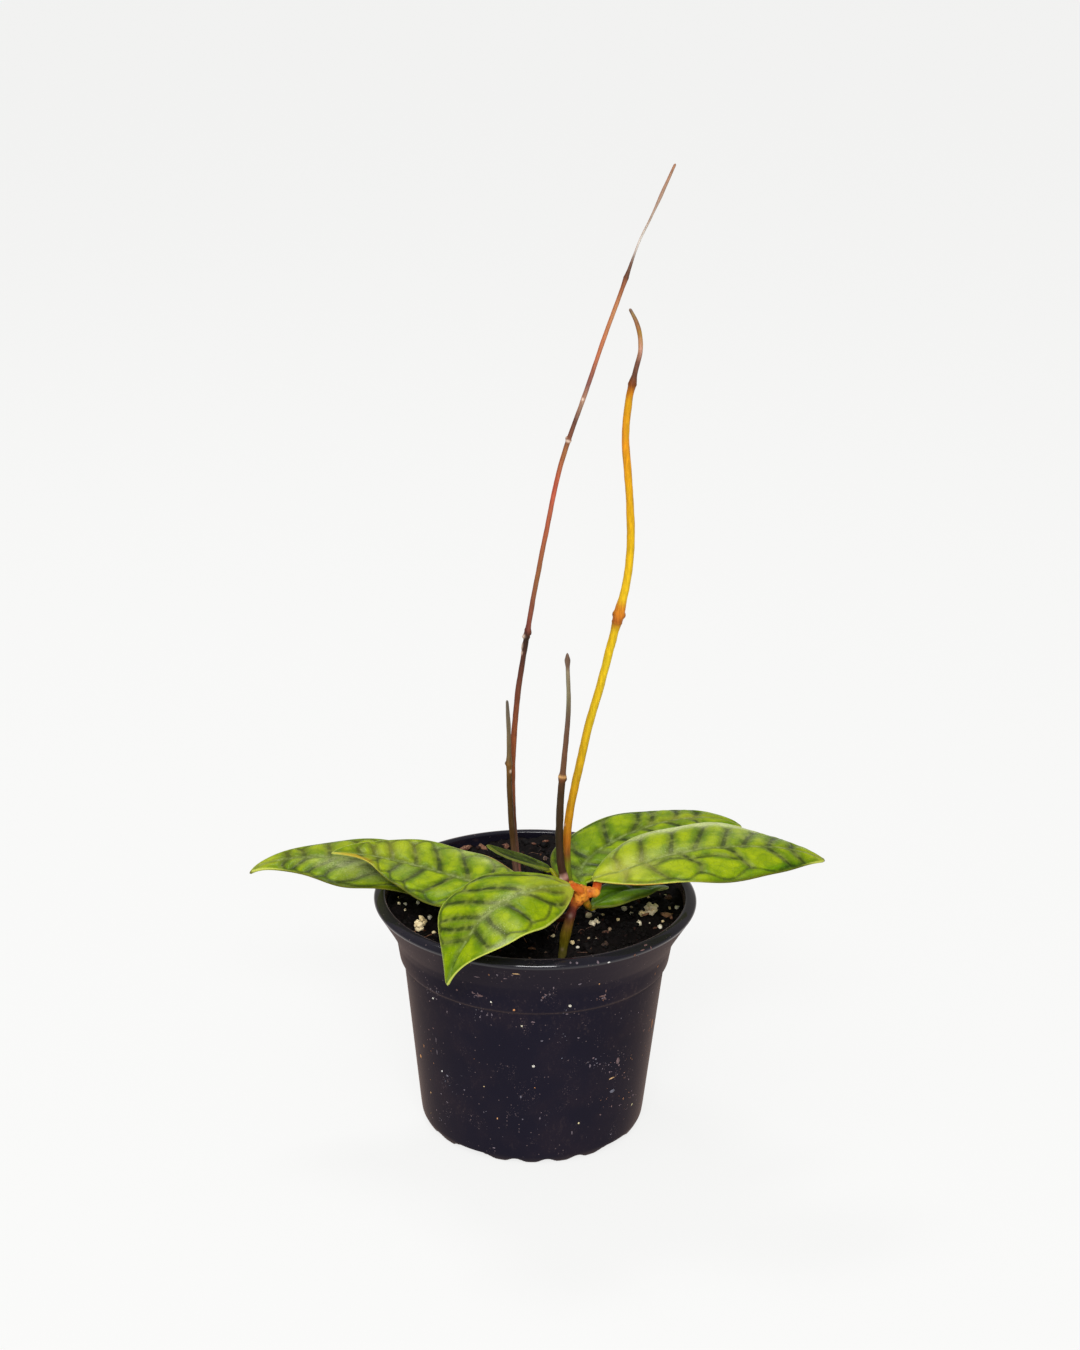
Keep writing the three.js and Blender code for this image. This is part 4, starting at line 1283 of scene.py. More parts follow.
# Lumps of the crown, as centre and half-sizes
CROWN_LUMPS = (
    (CROWN_CENTRE, (2.9, 2.6, 3.1)),
    ((13.6, -33.2, 93.0), (1.8, 1.6, 2.0)),
    ((14.9, -33.4, 95.4), (1.7, 1.4, 1.8)),
    ((16.6, -32.4, 95.6), (1.9, 1.6, 1.7)),
    ((18.3, -32.5, 95.5), (2.0, 1.6, 1.7)),
    ((13.0, -31.6, 96.2), (1.7, 1.6, 1.4)),
    ((12.2, -32.2, 90.6), (1.8, 1.7, 1.2)),
)
# Colour patches of the stem and crown, as centre, reach and kind: glow is a painted highlight, blush and
# scar are colour
CROWN_TINTS = (
    ((14.4, -34.5, 94.0), 2.2, "glow"),
    ((19.2, -33.8, 95.4), 1.2, "glow"),
    ((17.2, -34.0, 95.8), 1.5, "blush"),
    ((13.4, -34.6, 92.0), 1.4, "blush"),
    ((11.0, -35.0, 88.4), 0.7, "scar"),
    ((8.6, -35.0, 76.6), 0.6, "scar"),
)
REMESH_SIZE = 0.22


class HOYA_OT_rooted_stem(bpy.types.Operator):
    """Grow the stem that comes out of the soil, with its swollen crown"""

    bl_idname = "hoya.rooted_stem"
    bl_label = "Rooted stem and crown"

    def execute(self, context):
        settings = context.scene.hoya_stem
        mesh = self.shape().mesh("rooted_stem_skin")
        show("rooted_stem_skin", mesh, self.look(settings), ["rooted_stem"])
        return {"FINISHED"}

    @staticmethod
    def shape():
        """The stem, the arm and the crown's lumps joined into one wrinkled skin."""
        parts = Shape()
        for points, thickness in ((ROOTED_STEM, ROOTED_THICKNESS), (ARM, ARM_THICKNESS)):
            path = evenly(smooth_path(points), ROOTED_SPACING)
            radius = np.interp(np.linspace(0, 1, len(path)), *zip(*thickness))
            parts.add(*tube(path, radius, ROOTED_SIDES, ROOTED_FACING, ROOTED_BLUNT)[:2])
        form, faces = ball(3)
        for centre, half in CROWN_LUMPS:
            parts.add(form * half + centre, [faces])
        joined = applied(
            parts.mesh("stem_parts"), "REMESH", mode="VOXEL", voxel_size=REMESH_SIZE * MM)
        points = np.array([vertex.co for vertex in joined.vertices]) / MM
        faces = [face.vertices[:] for face in joined.polygons]
        normals = np.array([vertex.normal for vertex in joined.vertices])
        lumps = Lumps(SEEDS["rooted_stem"])
        wrinkle = 0.5 * lumps(points * (1, 1, 0.35), 0.9) + 0.35 * lumps(points, 0.45)
        near_crown = rise(*CROWN_EDGE, np.linalg.norm(points - CROWN_CENTRE, axis=1))
        points = points + normals * ((0.1 + 0.12 * near_crown) * wrinkle)[:, None]
        values = {"high": points[:, 2], "crown": near_crown}
        for kind in ("glow", "blush", "scar"):
            share = [
                np.exp(-(np.linalg.norm(points - centre, axis=1) / reach) ** 2)
                for centre, reach, sort in CROWN_TINTS if sort == kind
            ]
            values[kind] = np.max(share, axis=0)
        shape = Shape()
        shape.add(points, [], **values)
        shape.faces = [list(face) for face in faces]
        return shape

    @staticmethod
    def look(settings):
        """Olive bark low down, wine red above, and an orange crown."""
        look = Look("rooted_bark")
        # Heights of 70 to 120 mm become 0 to 1
        high = look.value("high") * 0.02 - 1.4
        stops = [
            (0.1, paint(98, 92, 42)), (0.16, paint(98, 92, 18)), (0.24, paint(114, 98, 20)),
            (0.3, paint(116, 84, 34)), (0.36, paint(84, 34, 30)), (0.42, paint(96, 36, 30)),
            (0.455, paint(180, 90, 40)), (0.49, settings.crown[:]), (0.56, paint(212, 136, 44)),
        ]
        colour = look.ramp(high, stops)
        streak = look.noise(0.7, 4, 0.6, look.scaled(look.mm, (1, 1, 0.2)))
        blotch = look.noise(1.6, 3, 0.6)
        shade = look.mix(look.rise(streak, 0.3, 0.7), (0.66, 0.6, 0.5), (1.15, 1.1, 1.05))
        colour = look.tinted(1.0, colour, shade)
        # Painted highlight: bright orange where the glow patches lie
        colour = look.mix(look.value("glow") * 0.75, colour, paint(242, 162, 50))
        colour = look.mix(look.value("blush") * 0.6, colour, paint(176, 82, 30))
        colour = look.mix(look.value("scar") * 0.35, colour, paint(190, 160, 140))
        # Painted shade: dark red-brown in cloudy patches round the crown stands for shade in its crevices
        crease_shade = look.rise(blotch, 0.5, 0.38) * look.value("crown")
        colour = look.mix(crease_shade * 0.8, colour, paint(96, 36, 12))
        return look.finish(Base_Color=colour, Roughness=0.36 + streak * 0.2, Specular_IOR_Level=0.16,
                           Normal=look.bump(streak * 0.6 + blotch * 0.4, 0.14))


# Leaves
#
# Each blade follows its solid in the frame: a bent midrib of four points, roll and fold in degrees
# at the base and at the tip, and an outline. Its veins are read from the photograph and drawn on
# the flattened blade, as a list of place along the midrib and reach towards the margin, by turns.
# Right and left are as seen from the base to the tip. Tints are kind, place, signed reach (less
# than 0 to the left), the spreads along and across, and strength. Their kinds are frost, a chalky
# bloom that along a far margin is a painted reflection of the sky; shade, painted shade and shadow;
# olive, which darkens, as painted shade on curled-under margins and the shaded young leaf and as
# browning at the tips; pale; rust, on margins and stalks; shine, a painted highlight where the gloss
# would catch the light; and amber, at a yellowed tip.

LEAVES = {
    "leaf_left_lower": dict(
        midrib=((3.2, -26.2, 85.4), (-18.8, 2.9, 85.8), (-82.8, 12.5, 92.7), (-92.9, 2, 84.2)),
        roll=(-5, 10), fold=(5, -6), half_width=17.5, round=0.7, taper=0.88, drip=0.66,
        curl=0.5, wave=0.6, ripples=3.5, stalk_radius=1.4, stalk_tint=(1.2, 1.1),
        stalk=((11, -33.2, 87.4), (7.4, -30.6, 85.6), (3.2, -26.2, 85.4)),
        right=(
            (0.1, 0, 0.12, 0.4, 0.14, 0.8), (0.2, 0, 0.22, 0.45, 0.25, 0.8),
            (0.3, 0, 0.33, 0.45, 0.35, 0.8), (0.41, 0, 0.44, 0.45, 0.46, 0.8),
            (0.5, 0, 0.52, 0.45, 0.54, 0.8), (0.57, 0, 0.585, 0.5, 0.6, 0.8),
            (0.655, 0, 0.665, 0.45, 0.675, 0.85), (0.735, 0, 0.745, 0.5, 0.75, 0.7),
            (0.79, 0.05, 0.797, 0.4, 0.8, 0.7)),
        left=(
            (0.08, 0, 0.1, 0.4, 0.12, 0.8), (0.16, 0, 0.19, 0.4, 0.22, 0.8),
            (0.26, 0, 0.29, 0.35, 0.32, 0.75), (0.36, 0, 0.4, 0.4, 0.43, 0.78),
            (0.47, 0, 0.5, 0.35, 0.53, 0.53, 0.565, 0.75, 0.6, 0.88),
            (0.57, 0, 0.62, 0.35, 0.64, 0.55, 0.655, 0.8),
            (0.64, 0, 0.665, 0.3, 0.69, 0.5, 0.715, 0.78), (0.72, 0, 0.75, 0.35, 0.775, 0.7),
            (0.8, 0, 0.82, 0.6)),
        tints=(
            ("frost", 0.5, -0.35, 0.16, 0.35, 0.9), ("frost", 0.62, -0.2, 0.1, 0.25, 0.5),
            ("shine", 0.5, -0.22, 0.12, 0.12, 0.5), ("pale", 0.92, 0, 0.08, 1, 0.4),
            ("olive", 0.5, -1, 0.4, 0.09, 1.3), ("pale", 0.6, 0.6, 0.3, 0.4, 0.2),
            ("olive", 1, 0, 0.02, 1, 1.3))),
    "leaf_left_upper": dict(
        midrib=((-0.4, -29.7, 93.9), (-27.3, -19.3, 91.3), (-40.5, 3.9, 90.5), (-65.8, -4.6, 94.8)),
        roll=(16, -3), fold=(-8, 22), half_width=16, round=0.69, taper=0.87, drip=0,
        curl=1.2, wave=0.5, ripples=3, stalk_radius=1.3, stalk_tint=(0.7, 0.2),
        stalk=((13.2, -32.2, 93.6), (6, -31.4, 92.4), (-0.4, -29.7, 93.9)),
        right=(
            (0.1, 0, 0.13, 0.4, 0.16, 0.75), (0.2, 0, 0.225, 0.4, 0.25, 0.75),
            (0.3, 0.02, 0.335, 0.25, 0.39, 0.5, 0.42, 0.68),
            (0.45, 0.02, 0.495, 0.3, 0.53, 0.5, 0.565, 0.7),
            (0.58, 0, 0.605, 0.22, 0.635, 0.45, 0.66, 0.7),
            (0.71, 0, 0.73, 0.25, 0.748, 0.5, 0.76, 0.75), (0.8, 0, 0.82, 0.5), (0.87, 0, 0.885, 0.5)),
        left=(
            (0.12, 0, 0.14, 0.35, 0.17, 0.7), (0.24, 0, 0.26, 0.35, 0.29, 0.7),
            (0.37, 0, 0.385, 0.3, 0.4, 0.55, 0.42, 0.78), (0.53, 0, 0.525, 0.3, 0.53, 0.6, 0.54, 0.78),
            (0.66, 0, 0.655, 0.35, 0.66, 0.7), (0.78, 0, 0.775, 0.5), (0.87, 0, 0.87, 0.5)),
        tints=(
            ("pale", 0.93, -0.85, 0.12, 0.5, 0.6), ("amber", 0.9, -0.9, 0.1, 0.2, 1.3),
            ("olive", 0.42, -1, 0.36, 0.08, 1.4), ("rust", 0.25, 1, 0.14, 0.05, 0.8),
            ("shine", 0.3, 0.8, 0.03, 0.1, 0.35), ("shine", 0.44, 0.85, 0.03, 0.08, 0.3),
            ("frost", 0.35, 0.85, 0.2, 0.25, 0.5), ("frost", 0.62, -0.4, 0.1, 0.3, 0.4),
            ("pale", 0.75, 0.5, 0.14, 0.5, 0.35), ("shade", 0.3, -0.85, 0.2, 0.16, 0.5))),
    "leaf_front": dict(
        midrib=((12, -35.3, 98.5), (-10.9, -43.8, 108.4), (-22.6, -57.7, 89.2), (-26.3, -60.4, 76.4)),
        roll=(14, -13), fold=(-16, 28), half_width=18.6, round=0.56, taper=0.64, drip=0.69,
        curl=2.3, wave=0.4, ripples=3, stalk_radius=1.4, stalk_tint=(0.5, 0.9),
        stalk=((14, -32.4, 95), (13.8, -34.3, 96.9), (12, -35.3, 98.5)),
        spine=(0, 0, 0.1, -0.1, 0.25, -0.12, 0.4, -0.08, 0.55, 0, 1, 0),
        right=(
            (0.02, 0, 0.12, 0.55, 0.2, 0.62, 0.26, 0.75, 0.32, 0.88, 0.38, 0.93),
            (0.28, 0, 0.33, 0.25, 0.38, 0.45, 0.43, 0.62, 0.46, 0.85),
            (0.42, 0, 0.46, 0.2, 0.5, 0.48, 0.54, 0.75, 0.57, 0.9),
            (0.54, 0, 0.57, 0.2, 0.6, 0.4, 0.63, 0.6, 0.67, 0.88),
            (0.61, 0, 0.64, 0.2, 0.675, 0.45, 0.7, 0.85), (0.69, 0, 0.72, 0.25, 0.745, 0.5, 0.765, 0.8)),
        left=(
            (0.24, 0.1, 0.17, 0.2, 0.115, 0.32, 0.06, 0.4),
            (0.3, 0.08, 0.27, 0.17, 0.185, 0.55, 0.12, 0.72, 0.07, 0.78, 0.04, 0.7),
            (0.4, 0.05, 0.4, 0.25, 0.39, 0.5, 0.385, 0.78), (0.52, 0, 0.55, 0.35, 0.56, 0.75),
            (0.62, 0, 0.65, 0.37, 0.675, 0.8)),
        left_arches=(
            (0.17, 0.62, 0.2, 0.75, 0.28, 0.86, 0.385, 0.82), (0.385, 0.8, 0.47, 0.93, 0.56, 0.75),
            (0.56, 0.75, 0.62, 0.92, 0.675, 0.8)),
        tints=(
            ("frost", 0.45, -0.02, 0.14, 0.14, 0.6), ("frost", 0.33, -0.1, 0.1, 0.14, 0.4),
            ("frost", 0.55, -0.5, 0.07, 0.25, 0.5), ("pale", 0.0, 0, 0.06, 2, 1),
            ("shine", 0.62, -0.93, 0.07, 0.1, 0.7), ("pale", 0.15, 0.1, 0.12, 0.4, 0.35),
            ("shade", 0.88, 0, 0.16, 0.7, 0.7))),
    "leaf_right_back": dict(
        midrib=((15, -20.4, 92.5), (6, -7.9, 94.2), (46.4, 19.7, 107.3), (67.4, 14, 97.9)),
        roll=(-9, 8), fold=(8, 0), half_width=14.7, round=0.66, taper=0.73, drip=0.21,
        curl=1.1, wave=0.5, ripples=3, stalk_radius=1.3, stalk_tint=(0.1, 0.0),
        stalk=((14, -31.4, 94), (14.9, -26.5, 92.6), (15, -20.4, 92.5)),
        left=(
            (0.17, 0.05, 0.165, 0.45, 0.17, 0.8), (0.265, 0, 0.27, 0.4, 0.3, 0.65, 0.325, 0.88),
            (0.4, 0, 0.44, 0.4, 0.475, 0.75, 0.49, 0.9), (0.52, 0, 0.575, 0.35, 0.6, 0.62, 0.615, 0.85),
            (0.6, 0, 0.645, 0.5, 0.66, 0.8), (0.7, 0, 0.73, 0.45, 0.74, 0.8), (0.79, 0, 0.81, 0.6)),
        right=(
            (0.11, 0, 0.13, 0.4, 0.15, 0.7), (0.22, 0, 0.24, 0.4, 0.27, 0.75),
            (0.33, 0, 0.36, 0.4, 0.39, 0.8), (0.45, 0, 0.48, 0.4, 0.51, 0.8),
            (0.56, 0, 0.59, 0.4, 0.62, 0.8), (0.66, 0, 0.69, 0.5, 0.71, 0.8), (0.76, 0, 0.78, 0.5)),
        tints=(
            ("frost", 0.12, 0, 0.1, 0.5, 0.3), ("shade", 0.2, 0, 0.4, 2, 0.4),
            ("olive", 0.1, -1, 0.16, 0.12, 1), ("pale", 0.75, -0.1, 0.15, 0.2, 0.4))),
    "leaf_right_front": dict(
        midrib=((17.8, -30.3, 98.7), (41.6, -24.6, 108.6), (77, -21.1, 110.1), (91.2, -20.2, 101.9)),
        roll=(-8, 2), fold=(9, -6), half_width=19.9, round=0.76, taper=0.78, drip=0.44,
        curl=1.7, wave=0.5, ripples=3, stalk_radius=1.5, stalk_tint=(0.5, 1.1),
        stalk=((14.6, -32, 95.2), (17, -32.5, 95.2), (18.7, -31.9, 95.9), (19.3, -30.9, 97)),
        spine=(0, 0, 0.1, 0.22, 0.2, 0.12, 0.3, 0, 1, 0),
        left=(
            (0.11, 0, 0.115, 0.3, 0.11, 0.6), (0.2, 0, 0.215, 0.4, 0.225, 0.8),
            (0.31, 0, 0.33, 0.4, 0.345, 0.75), (0.4, 0.03, 0.43, 0.35, 0.465, 0.75),
            (0.505, 0, 0.53, 0.35, 0.555, 0.68), (0.585, 0, 0.62, 0.35, 0.665, 0.8),
            (0.69, 0, 0.72, 0.4, 0.75, 0.75), (0.79, 0, 0.82, 0.5)),
        right=(
            (0.13, 0.15, 0.125, 0.5, 0.11, 0.85), (0.205, 0.1, 0.225, 0.35, 0.24, 0.6, 0.27, 0.85),
            (0.345, 0, 0.37, 0.28, 0.4, 0.48, 0.39, 0.72), (0.52, 0, 0.545, 0.22, 0.57, 0.5, 0.59, 0.7),
            (0.68, 0, 0.705, 0.22, 0.75, 0.6, 0.775, 0.85), (0.8, 0, 0.83, 0.5, 0.85, 0.8)),
        cross=((0.235, 0.3, 0.3, 0.15, 0.37, 0.25), (0.375, 0.28, 0.46, 0.25, 0.545, 0.42)),
        tints=(
            ("pale", 0.08, 0.2, 0.14, 0.7, 0.8), ("frost", 0.15, 0.2, 0.1, 0.4, 0.3),
            ("shade", 0.72, 0.86, 0.15, 0.13, 1.0), ("rust", 0.16, 1, 0.17, 0.03, 0.8),
            ("olive", 0.6, 0.99, 0.3, 0.05, 1.1), ("pale", 0.97, 0, 0.06, 1, 0.6),
            ("shine", 0.42, -0.92, 0.2, 0.13, 1.3), ("shine", 0.6, -0.86, 0.1, 0.09, 0.9),
            ("frost", 0.42, -0.92, 0.28, 0.16, 0.9), ("frost", 0.62, -0.5, 0.12, 0.3, 0.5),
            ("frost", 0.3, -0.1, 0.16, 0.18, 0.4), ("olive", 1, 0, 0.02, 1, 1.3))),
    "leaf_right_lower": dict(
        midrib=((17.2, -25.2, 86.8), (25.2, -20.5, 90.1), (31, -13.8, 89), (42.4, -6, 84.9)),
        roll=(-8, 15), fold=(0, 19), half_width=9, round=0.9, taper=0.63, drip=0.07,
        curl=0.9, wave=0.3, ripples=2.5, stalk_radius=1.2, stalk_tint=(0.4, 0.2),
        stations=130, columns=36,
        stalk=((15, -31.8, 93.2), (16.4, -29, 89.6), (17.2, -25.2, 86.8)),
        right=((0.62, 0, 0.68, 0.6),), left=((0.62, 0, 0.68, 0.6),),
        tints=(
            ("shade", 0.4, -0.3, 0.6, 1.2, 1.3), ("shade", 0.8, 0, 0.3, 2, 0.9),
            ("olive", 0.5, 0.95, 1, 0.2, 0.8), ("shine", 0.75, -0.4, 0.12, 0.2, 0.25))),
    "leaf_back_young": dict(
        midrib=((4.7, -23.6, 98.9), (-3.9, -21.3, 101.1), (-10.6, -17.6, 101.3), (-15.7, -13.9, 102.7)),
        roll=(-4.5, -4.5), fold=(10.4, 10.4), half_width=3.3, round=0.5, taper=0.8, drip=0.1,
        curl=0.2, wave=0.1, ripples=2, stalk_radius=0.75, stalk_tint=(0.3, 0.1),
        stations=110, columns=28,
        stalk=((8.2, -26.4, 94.9), (6.5, -24.8, 96.9), (4.7, -23.6, 98.9)),
        right=((0.15, 0, 0.3, 0.5, 0.5, 0.7), (0.45, 0, 0.6, 0.5, 0.75, 0.7)),
        left=((0.15, 0, 0.3, 0.5, 0.5, 0.7), (0.45, 0, 0.6, 0.5, 0.75, 0.7)),
        tints=(
            ("olive", 0.5, 0, 2, 1.2, 1.1), ("shade", 0.5, 0, 2, 1.2, 0.8),
            ("shine", 0.5, 1, 0.5, 0.1, 0.5), ("shine", 0.5, -1, 0.5, 0.1, 0.3))),
}
TINTS = ("frost", "shade", "pale", "rust", "shine", "olive", "amber")
STATIONS = 200
COLUMNS = 60
SPINE_STEPS = 400
# Half-widths of the veins at their two ends, how far an arch reaches towards the margin, and the
# greatest distance from a vein that is measured
SIDE_VEIN = (0.75, 0.42)
ARCH_VEIN = (0.36, 0.3)
CROSS_VEIN = (0.3, 0.3)
ARCH_REACH = 0.93
FARTHEST = 4.0
TIP_HALF_WIDTH = 0.3
# The stalk under the blade as (place along the midrib, depth in radii), and its thickness along
# the whole as (share of the length, share of the radius)
UNDER_BLADE = ((0.02, 0.8), (0.06, 1.05), (0.11, 0.95), (0.16, 0.7))
STALK_TAPER = ((0, 1.12), (0.12, 1.0), (0.6, 0.85), (0.75, 0.65), (1, 0.3))
STALK_SIDES = 16
STALK_WRINKLE = 0.07
# How far from the margin and from the ends the swelling sets in, and over how far the blade thins
SWELL_FROM_EDGE = 1.8
SWELL_FROM_ENDS = 3
THIN_ENDS = 1.2
# The ridge below the midrib: its height and reach, and how much of it is left at the tip
RIDGE_HEIGHT = 0.8
RIDGE_REACH = 1.1
RIDGE_LEFT = 0.2


class Blade:
    """Where a leaf's blade lies, and its width at each place along the midrib."""

    def __init__(self, leaf):
        self.leaf = leaf
        self.bones = np.array(leaf["midrib"], float)
        self.even = np.linspace(0, 1, SPINE_STEPS)
        self.far = lengths_along(self.spine_point(self.even))

    def spine_point(self, place):
        """Points of the midrib."""
        a, b, c, d = self.bones
        t = np.asarray(place)[:, None]
        return (1 - t) ** 3 * a + 3 * (1 - t) ** 2 * t * b + 3 * (1 - t) * t * t * c + t ** 3 * d

    def axes(self, place):
        """Directions across the blade and up from it."""
        a, b, c, d = self.bones
        t = np.asarray(place)[:, None]
        tangent = unit((1 - t) ** 2 * (b - a) + 2 * (1 - t) * t * (c - b) + t * t * (d - c))
        side = unit(np.cross(tangent, UPWARD))
        up = np.cross(side, tangent)
        roll = np.radians(between(self.leaf["roll"], t))
        return side * np.cos(roll) + up * np.sin(roll), up * np.cos(roll) - side * np.sin(roll)

    def share(self, place):
        """Share of the greatest half-width."""
        leaf = self.leaf
        a, b = leaf["round"], leaf["taper"]
        widest = a / (a + b)
        peak = widest ** a * (1 - widest) ** b
        return place ** a * (1 - place) ** b / peak * (1 - leaf["drip"] * rise(0.55, 1, place))

    def half_width(self, place):
        """Half-width in millimetres."""
        least = between((self.leaf["stalk_radius"], TIP_HALF_WIDTH), place)
        return np.maximum(self.leaf["half_width"] * self.share(place), least)

    def along(self, place):
        """Millimetres along the midrib."""
        return np.interp(place, self.even, self.far)

    def point(self, place, side, lift):
        """Points of the blade: side is -1 at the left margin and 1 at the right."""
        leaf = self.leaf
        share = self.share(place)
        width = self.half_width(place)
        fold = np.radians(between(leaf["fold"], place))
        ripple = np.sin(2 * math.pi * leaf["ripples"] * place + 2 * side)
        height = (
            abs(side) * width * np.sin(fold)
            - leaf["curl"] * share * side ** 2
            + leaf["wave"] * share * side ** 2 * ripple
            + lift
        )
        across, up = self.axes(place)
        flat = side * width * np.cos(fold)
        return self.spine_point(place) + across * flat[:, None] + up * height[:, None]


def pairs(rows):
    """Rows of numbers, each as a list of pairs."""
    return [np.reshape(row, (-1, 2)) for row in rows]


def arches(veins):
    """Short veins near the margin that join the ends of neighbouring side veins."""
    joined = []
    for first, second in zip(veins, veins[1:]):
        middle = (first[-1][0] + second[-1][0]) / 2
        joined.append(np.array([first[-1], (middle, ARCH_REACH), second[-1]]))
    return joined


def vein_lines(leaf, blade):
    """The side and cross veins, and the fainter arches, on the flattened blade with half-widths."""
    clear, faint = [], []
    for sign, side in ((1, "right"), (-1, "left")):
        veins = pairs(leaf[side])
        loops = pairs(leaf.get(side + "_arches", ())) or arches(veins)
        cross = pairs(leaf.get("cross", ())) if side == "right" else []
        for group, widths, lines in (
            (veins, SIDE_VEIN, clear), (loops, ARCH_VEIN, faint), (cross, CROSS_VEIN, clear),
        ):
            for place, reach in (vein.T for vein in group):
                flat = np.column_stack([blade.along(place), sign * reach * blade.half_width(place)])
                line = smooth_path(flat, 6) if len(flat) > 2 else flat
                lines.append((line, np.linspace(*widths, len(line))))
    return clear, faint


def line_distance(points, lines):
    """Distance of points from the edge of the nearest line, less than 0 on a line."""
    nearest = np.full(len(points), FARTHEST)
    steps = (step for line, widths in lines for step in zip(line, line[1:], widths, widths[1:]))
    for a, b, width_a, width_b in steps:
        step = b - a
        share = np.clip((points - a) @ step / (step @ step), 0, 1)
        away = np.linalg.norm(points - a - share[:, None] * step, axis=1)
        nearest = np.minimum(nearest, away - between((width_a, width_b), share))
    return nearest


def leaf_shape(leaf, settings, seed):
    """A leaf: its blade, and its stalk with the start of the midrib under the blade."""
    blade = Blade(leaf)
    lumps = Lumps(seed)
    shape = Shape()
    points, faces, values = blade_body(leaf, blade, lumps, settings)
    shape.add(points, faces, **values)
    points, faces, run = stalk_body(leaf, blade, lumps)
    rust = between(leaf["stalk_tint"], run)
    shape.add(points, faces, stalk=1, vein=2, arch=2, rib=3, edge=3, rust=rust, pale=0.2)
    return shape


def blade_body(leaf, blade, lumps, settings):
    """A closed blade with puffed cells between its veins and a ridge below, and its values."""
    # Places on the blade, closer together at its ends and margins
    rows, columns = leaf.get("stations", STATIONS), leaf.get("columns", COLUMNS)
    even = np.linspace(0, 1, rows + 1)
    row = (even + 0.5 - 0.5 * np.cos(math.pi * even)) / 2
    column = np.linspace(-1, 1, columns + 1)
    column = 0.75 * column + 0.25 * np.sin(column * math.pi / 2)
    place, side = (grid.ravel() for grid in np.meshgrid(row, column, indexing="ij"))
    width = blade.half_width(place)
    flat = np.column_stack([blade.along(place), side * width])

    # How far each place is from the midrib, the veins, the margin and the ends, in millimetres
    spine = np.reshape(leaf.get("spine", (0, 0, 1, 0)), (-1, 2))
    spine_line = np.column_stack([
        blade.along(row), np.interp(row, spine[:, 0], spine[:, 1]) * blade.half_width(row)])
    rib = line_distance(flat, [(spine_line, np.zeros(len(row)))])
    vein, arch = (line_distance(flat, lines) for lines in vein_lines(leaf, blade))
    edge = (1 - abs(side)) * width
    ends = np.minimum(place, 1 - place) * blade.far[-1]

    # How far the upper and the lower face stand off the middle of the blade
    inner = rise(0, SWELL_FROM_EDGE, edge) * rise(0, SWELL_FROM_ENDS, ends)
    thin = np.sqrt(1 - abs(side) ** 4) * np.sqrt(rise(0, THIN_ENDS, ends))
    half = settings.thickness / MM / 2 * thin
    here = np.column_stack([flat, np.zeros(len(flat))])
    cell = rise(-0.3, 1.7, vein) * rise(0.2, 1.6, rib) * between((0.5, 1), rise(-0.3, 1.2, arch))
    soft = 0.1 * lumps(here, 6.0) + 0.05 * lumps(here + 5, 2.2)
    top = half + inner * (settings.puff / MM * (cell - 0.5) + soft)
    ridge = RIDGE_HEIGHT * np.exp(-((rib / RIDGE_REACH) ** 2)) * between((1.0, RIDGE_LEFT), place)
    below = half + inner * (ridge + 0.12 * (1 - cell) - soft)
    upper = blade.point(place, side, top)
    lower = blade.point(place, side, -below)

    # Both faces share the points of the margin, so the lower one brings only its inner points
    count = (rows + 1) * (columns + 1)
    index = np.arange(count).reshape(rows + 1, columns + 1)
    under = index.copy()
    under[1:-1, 1:-1] = count + np.arange((rows - 1) * (columns - 1)).reshape(rows - 1, columns - 1)
    inside = index[1:-1, 1:-1].ravel()
    quads = [
        np.stack([grid[:-1, :-1], grid[:-1, 1:], grid[1:, 1:], grid[1:, :-1]], axis=-1).reshape(-1, 4)
        for grid in (index, under)
    ]
    values = {"vein": vein, "arch": arch, "rib": rib, "edge": edge}
    for kind in TINTS:
        share = np.zeros(count)
        for sort, at, reach, long, wide, strength in leaf["tints"]:
            if sort == kind:
                share += strength * np.exp(-((place - at) / long) ** 2 - ((side - reach) / wide) ** 2)
        values[kind] = share.clip(0, 1)
    values = {name: np.r_[value, value[inside]] for name, value in values.items()}
    values["under"] = np.r_[np.zeros(count), np.ones(len(inside))]
    return np.vstack([upper, lower[inside]]), [quads[0], quads[1][:, ::-1]], values


def stalk_body(leaf, blade, lumps):
    """A wrinkled stalk that thins out under the blade, and the share of its length."""
    places, depths = np.transpose(UNDER_BLADE)
    below_blade = blade.point(places, np.zeros(len(places)), -leaf["stalk_radius"] * depths)
    path = evenly(smooth_path([*leaf["stalk"], *below_blade]), STEM_SPACING)
    radius = leaf["stalk_radius"] * np.interp(np.linspace(0, 1, len(path)), *zip(*STALK_TAPER))
    points, faces, run, _ = tube(path, radius, STALK_SIDES, facing=UPWARD)
    wrinkle = lumps(points * (1, 1, 1.5), 0.8)
    centre = np.vstack([np.repeat(path, STALK_SIDES, axis=0), path[:1], path[-1:]])
    return points + (points - centre) * STALK_WRINKLE * wrinkle[:, None], faces, run


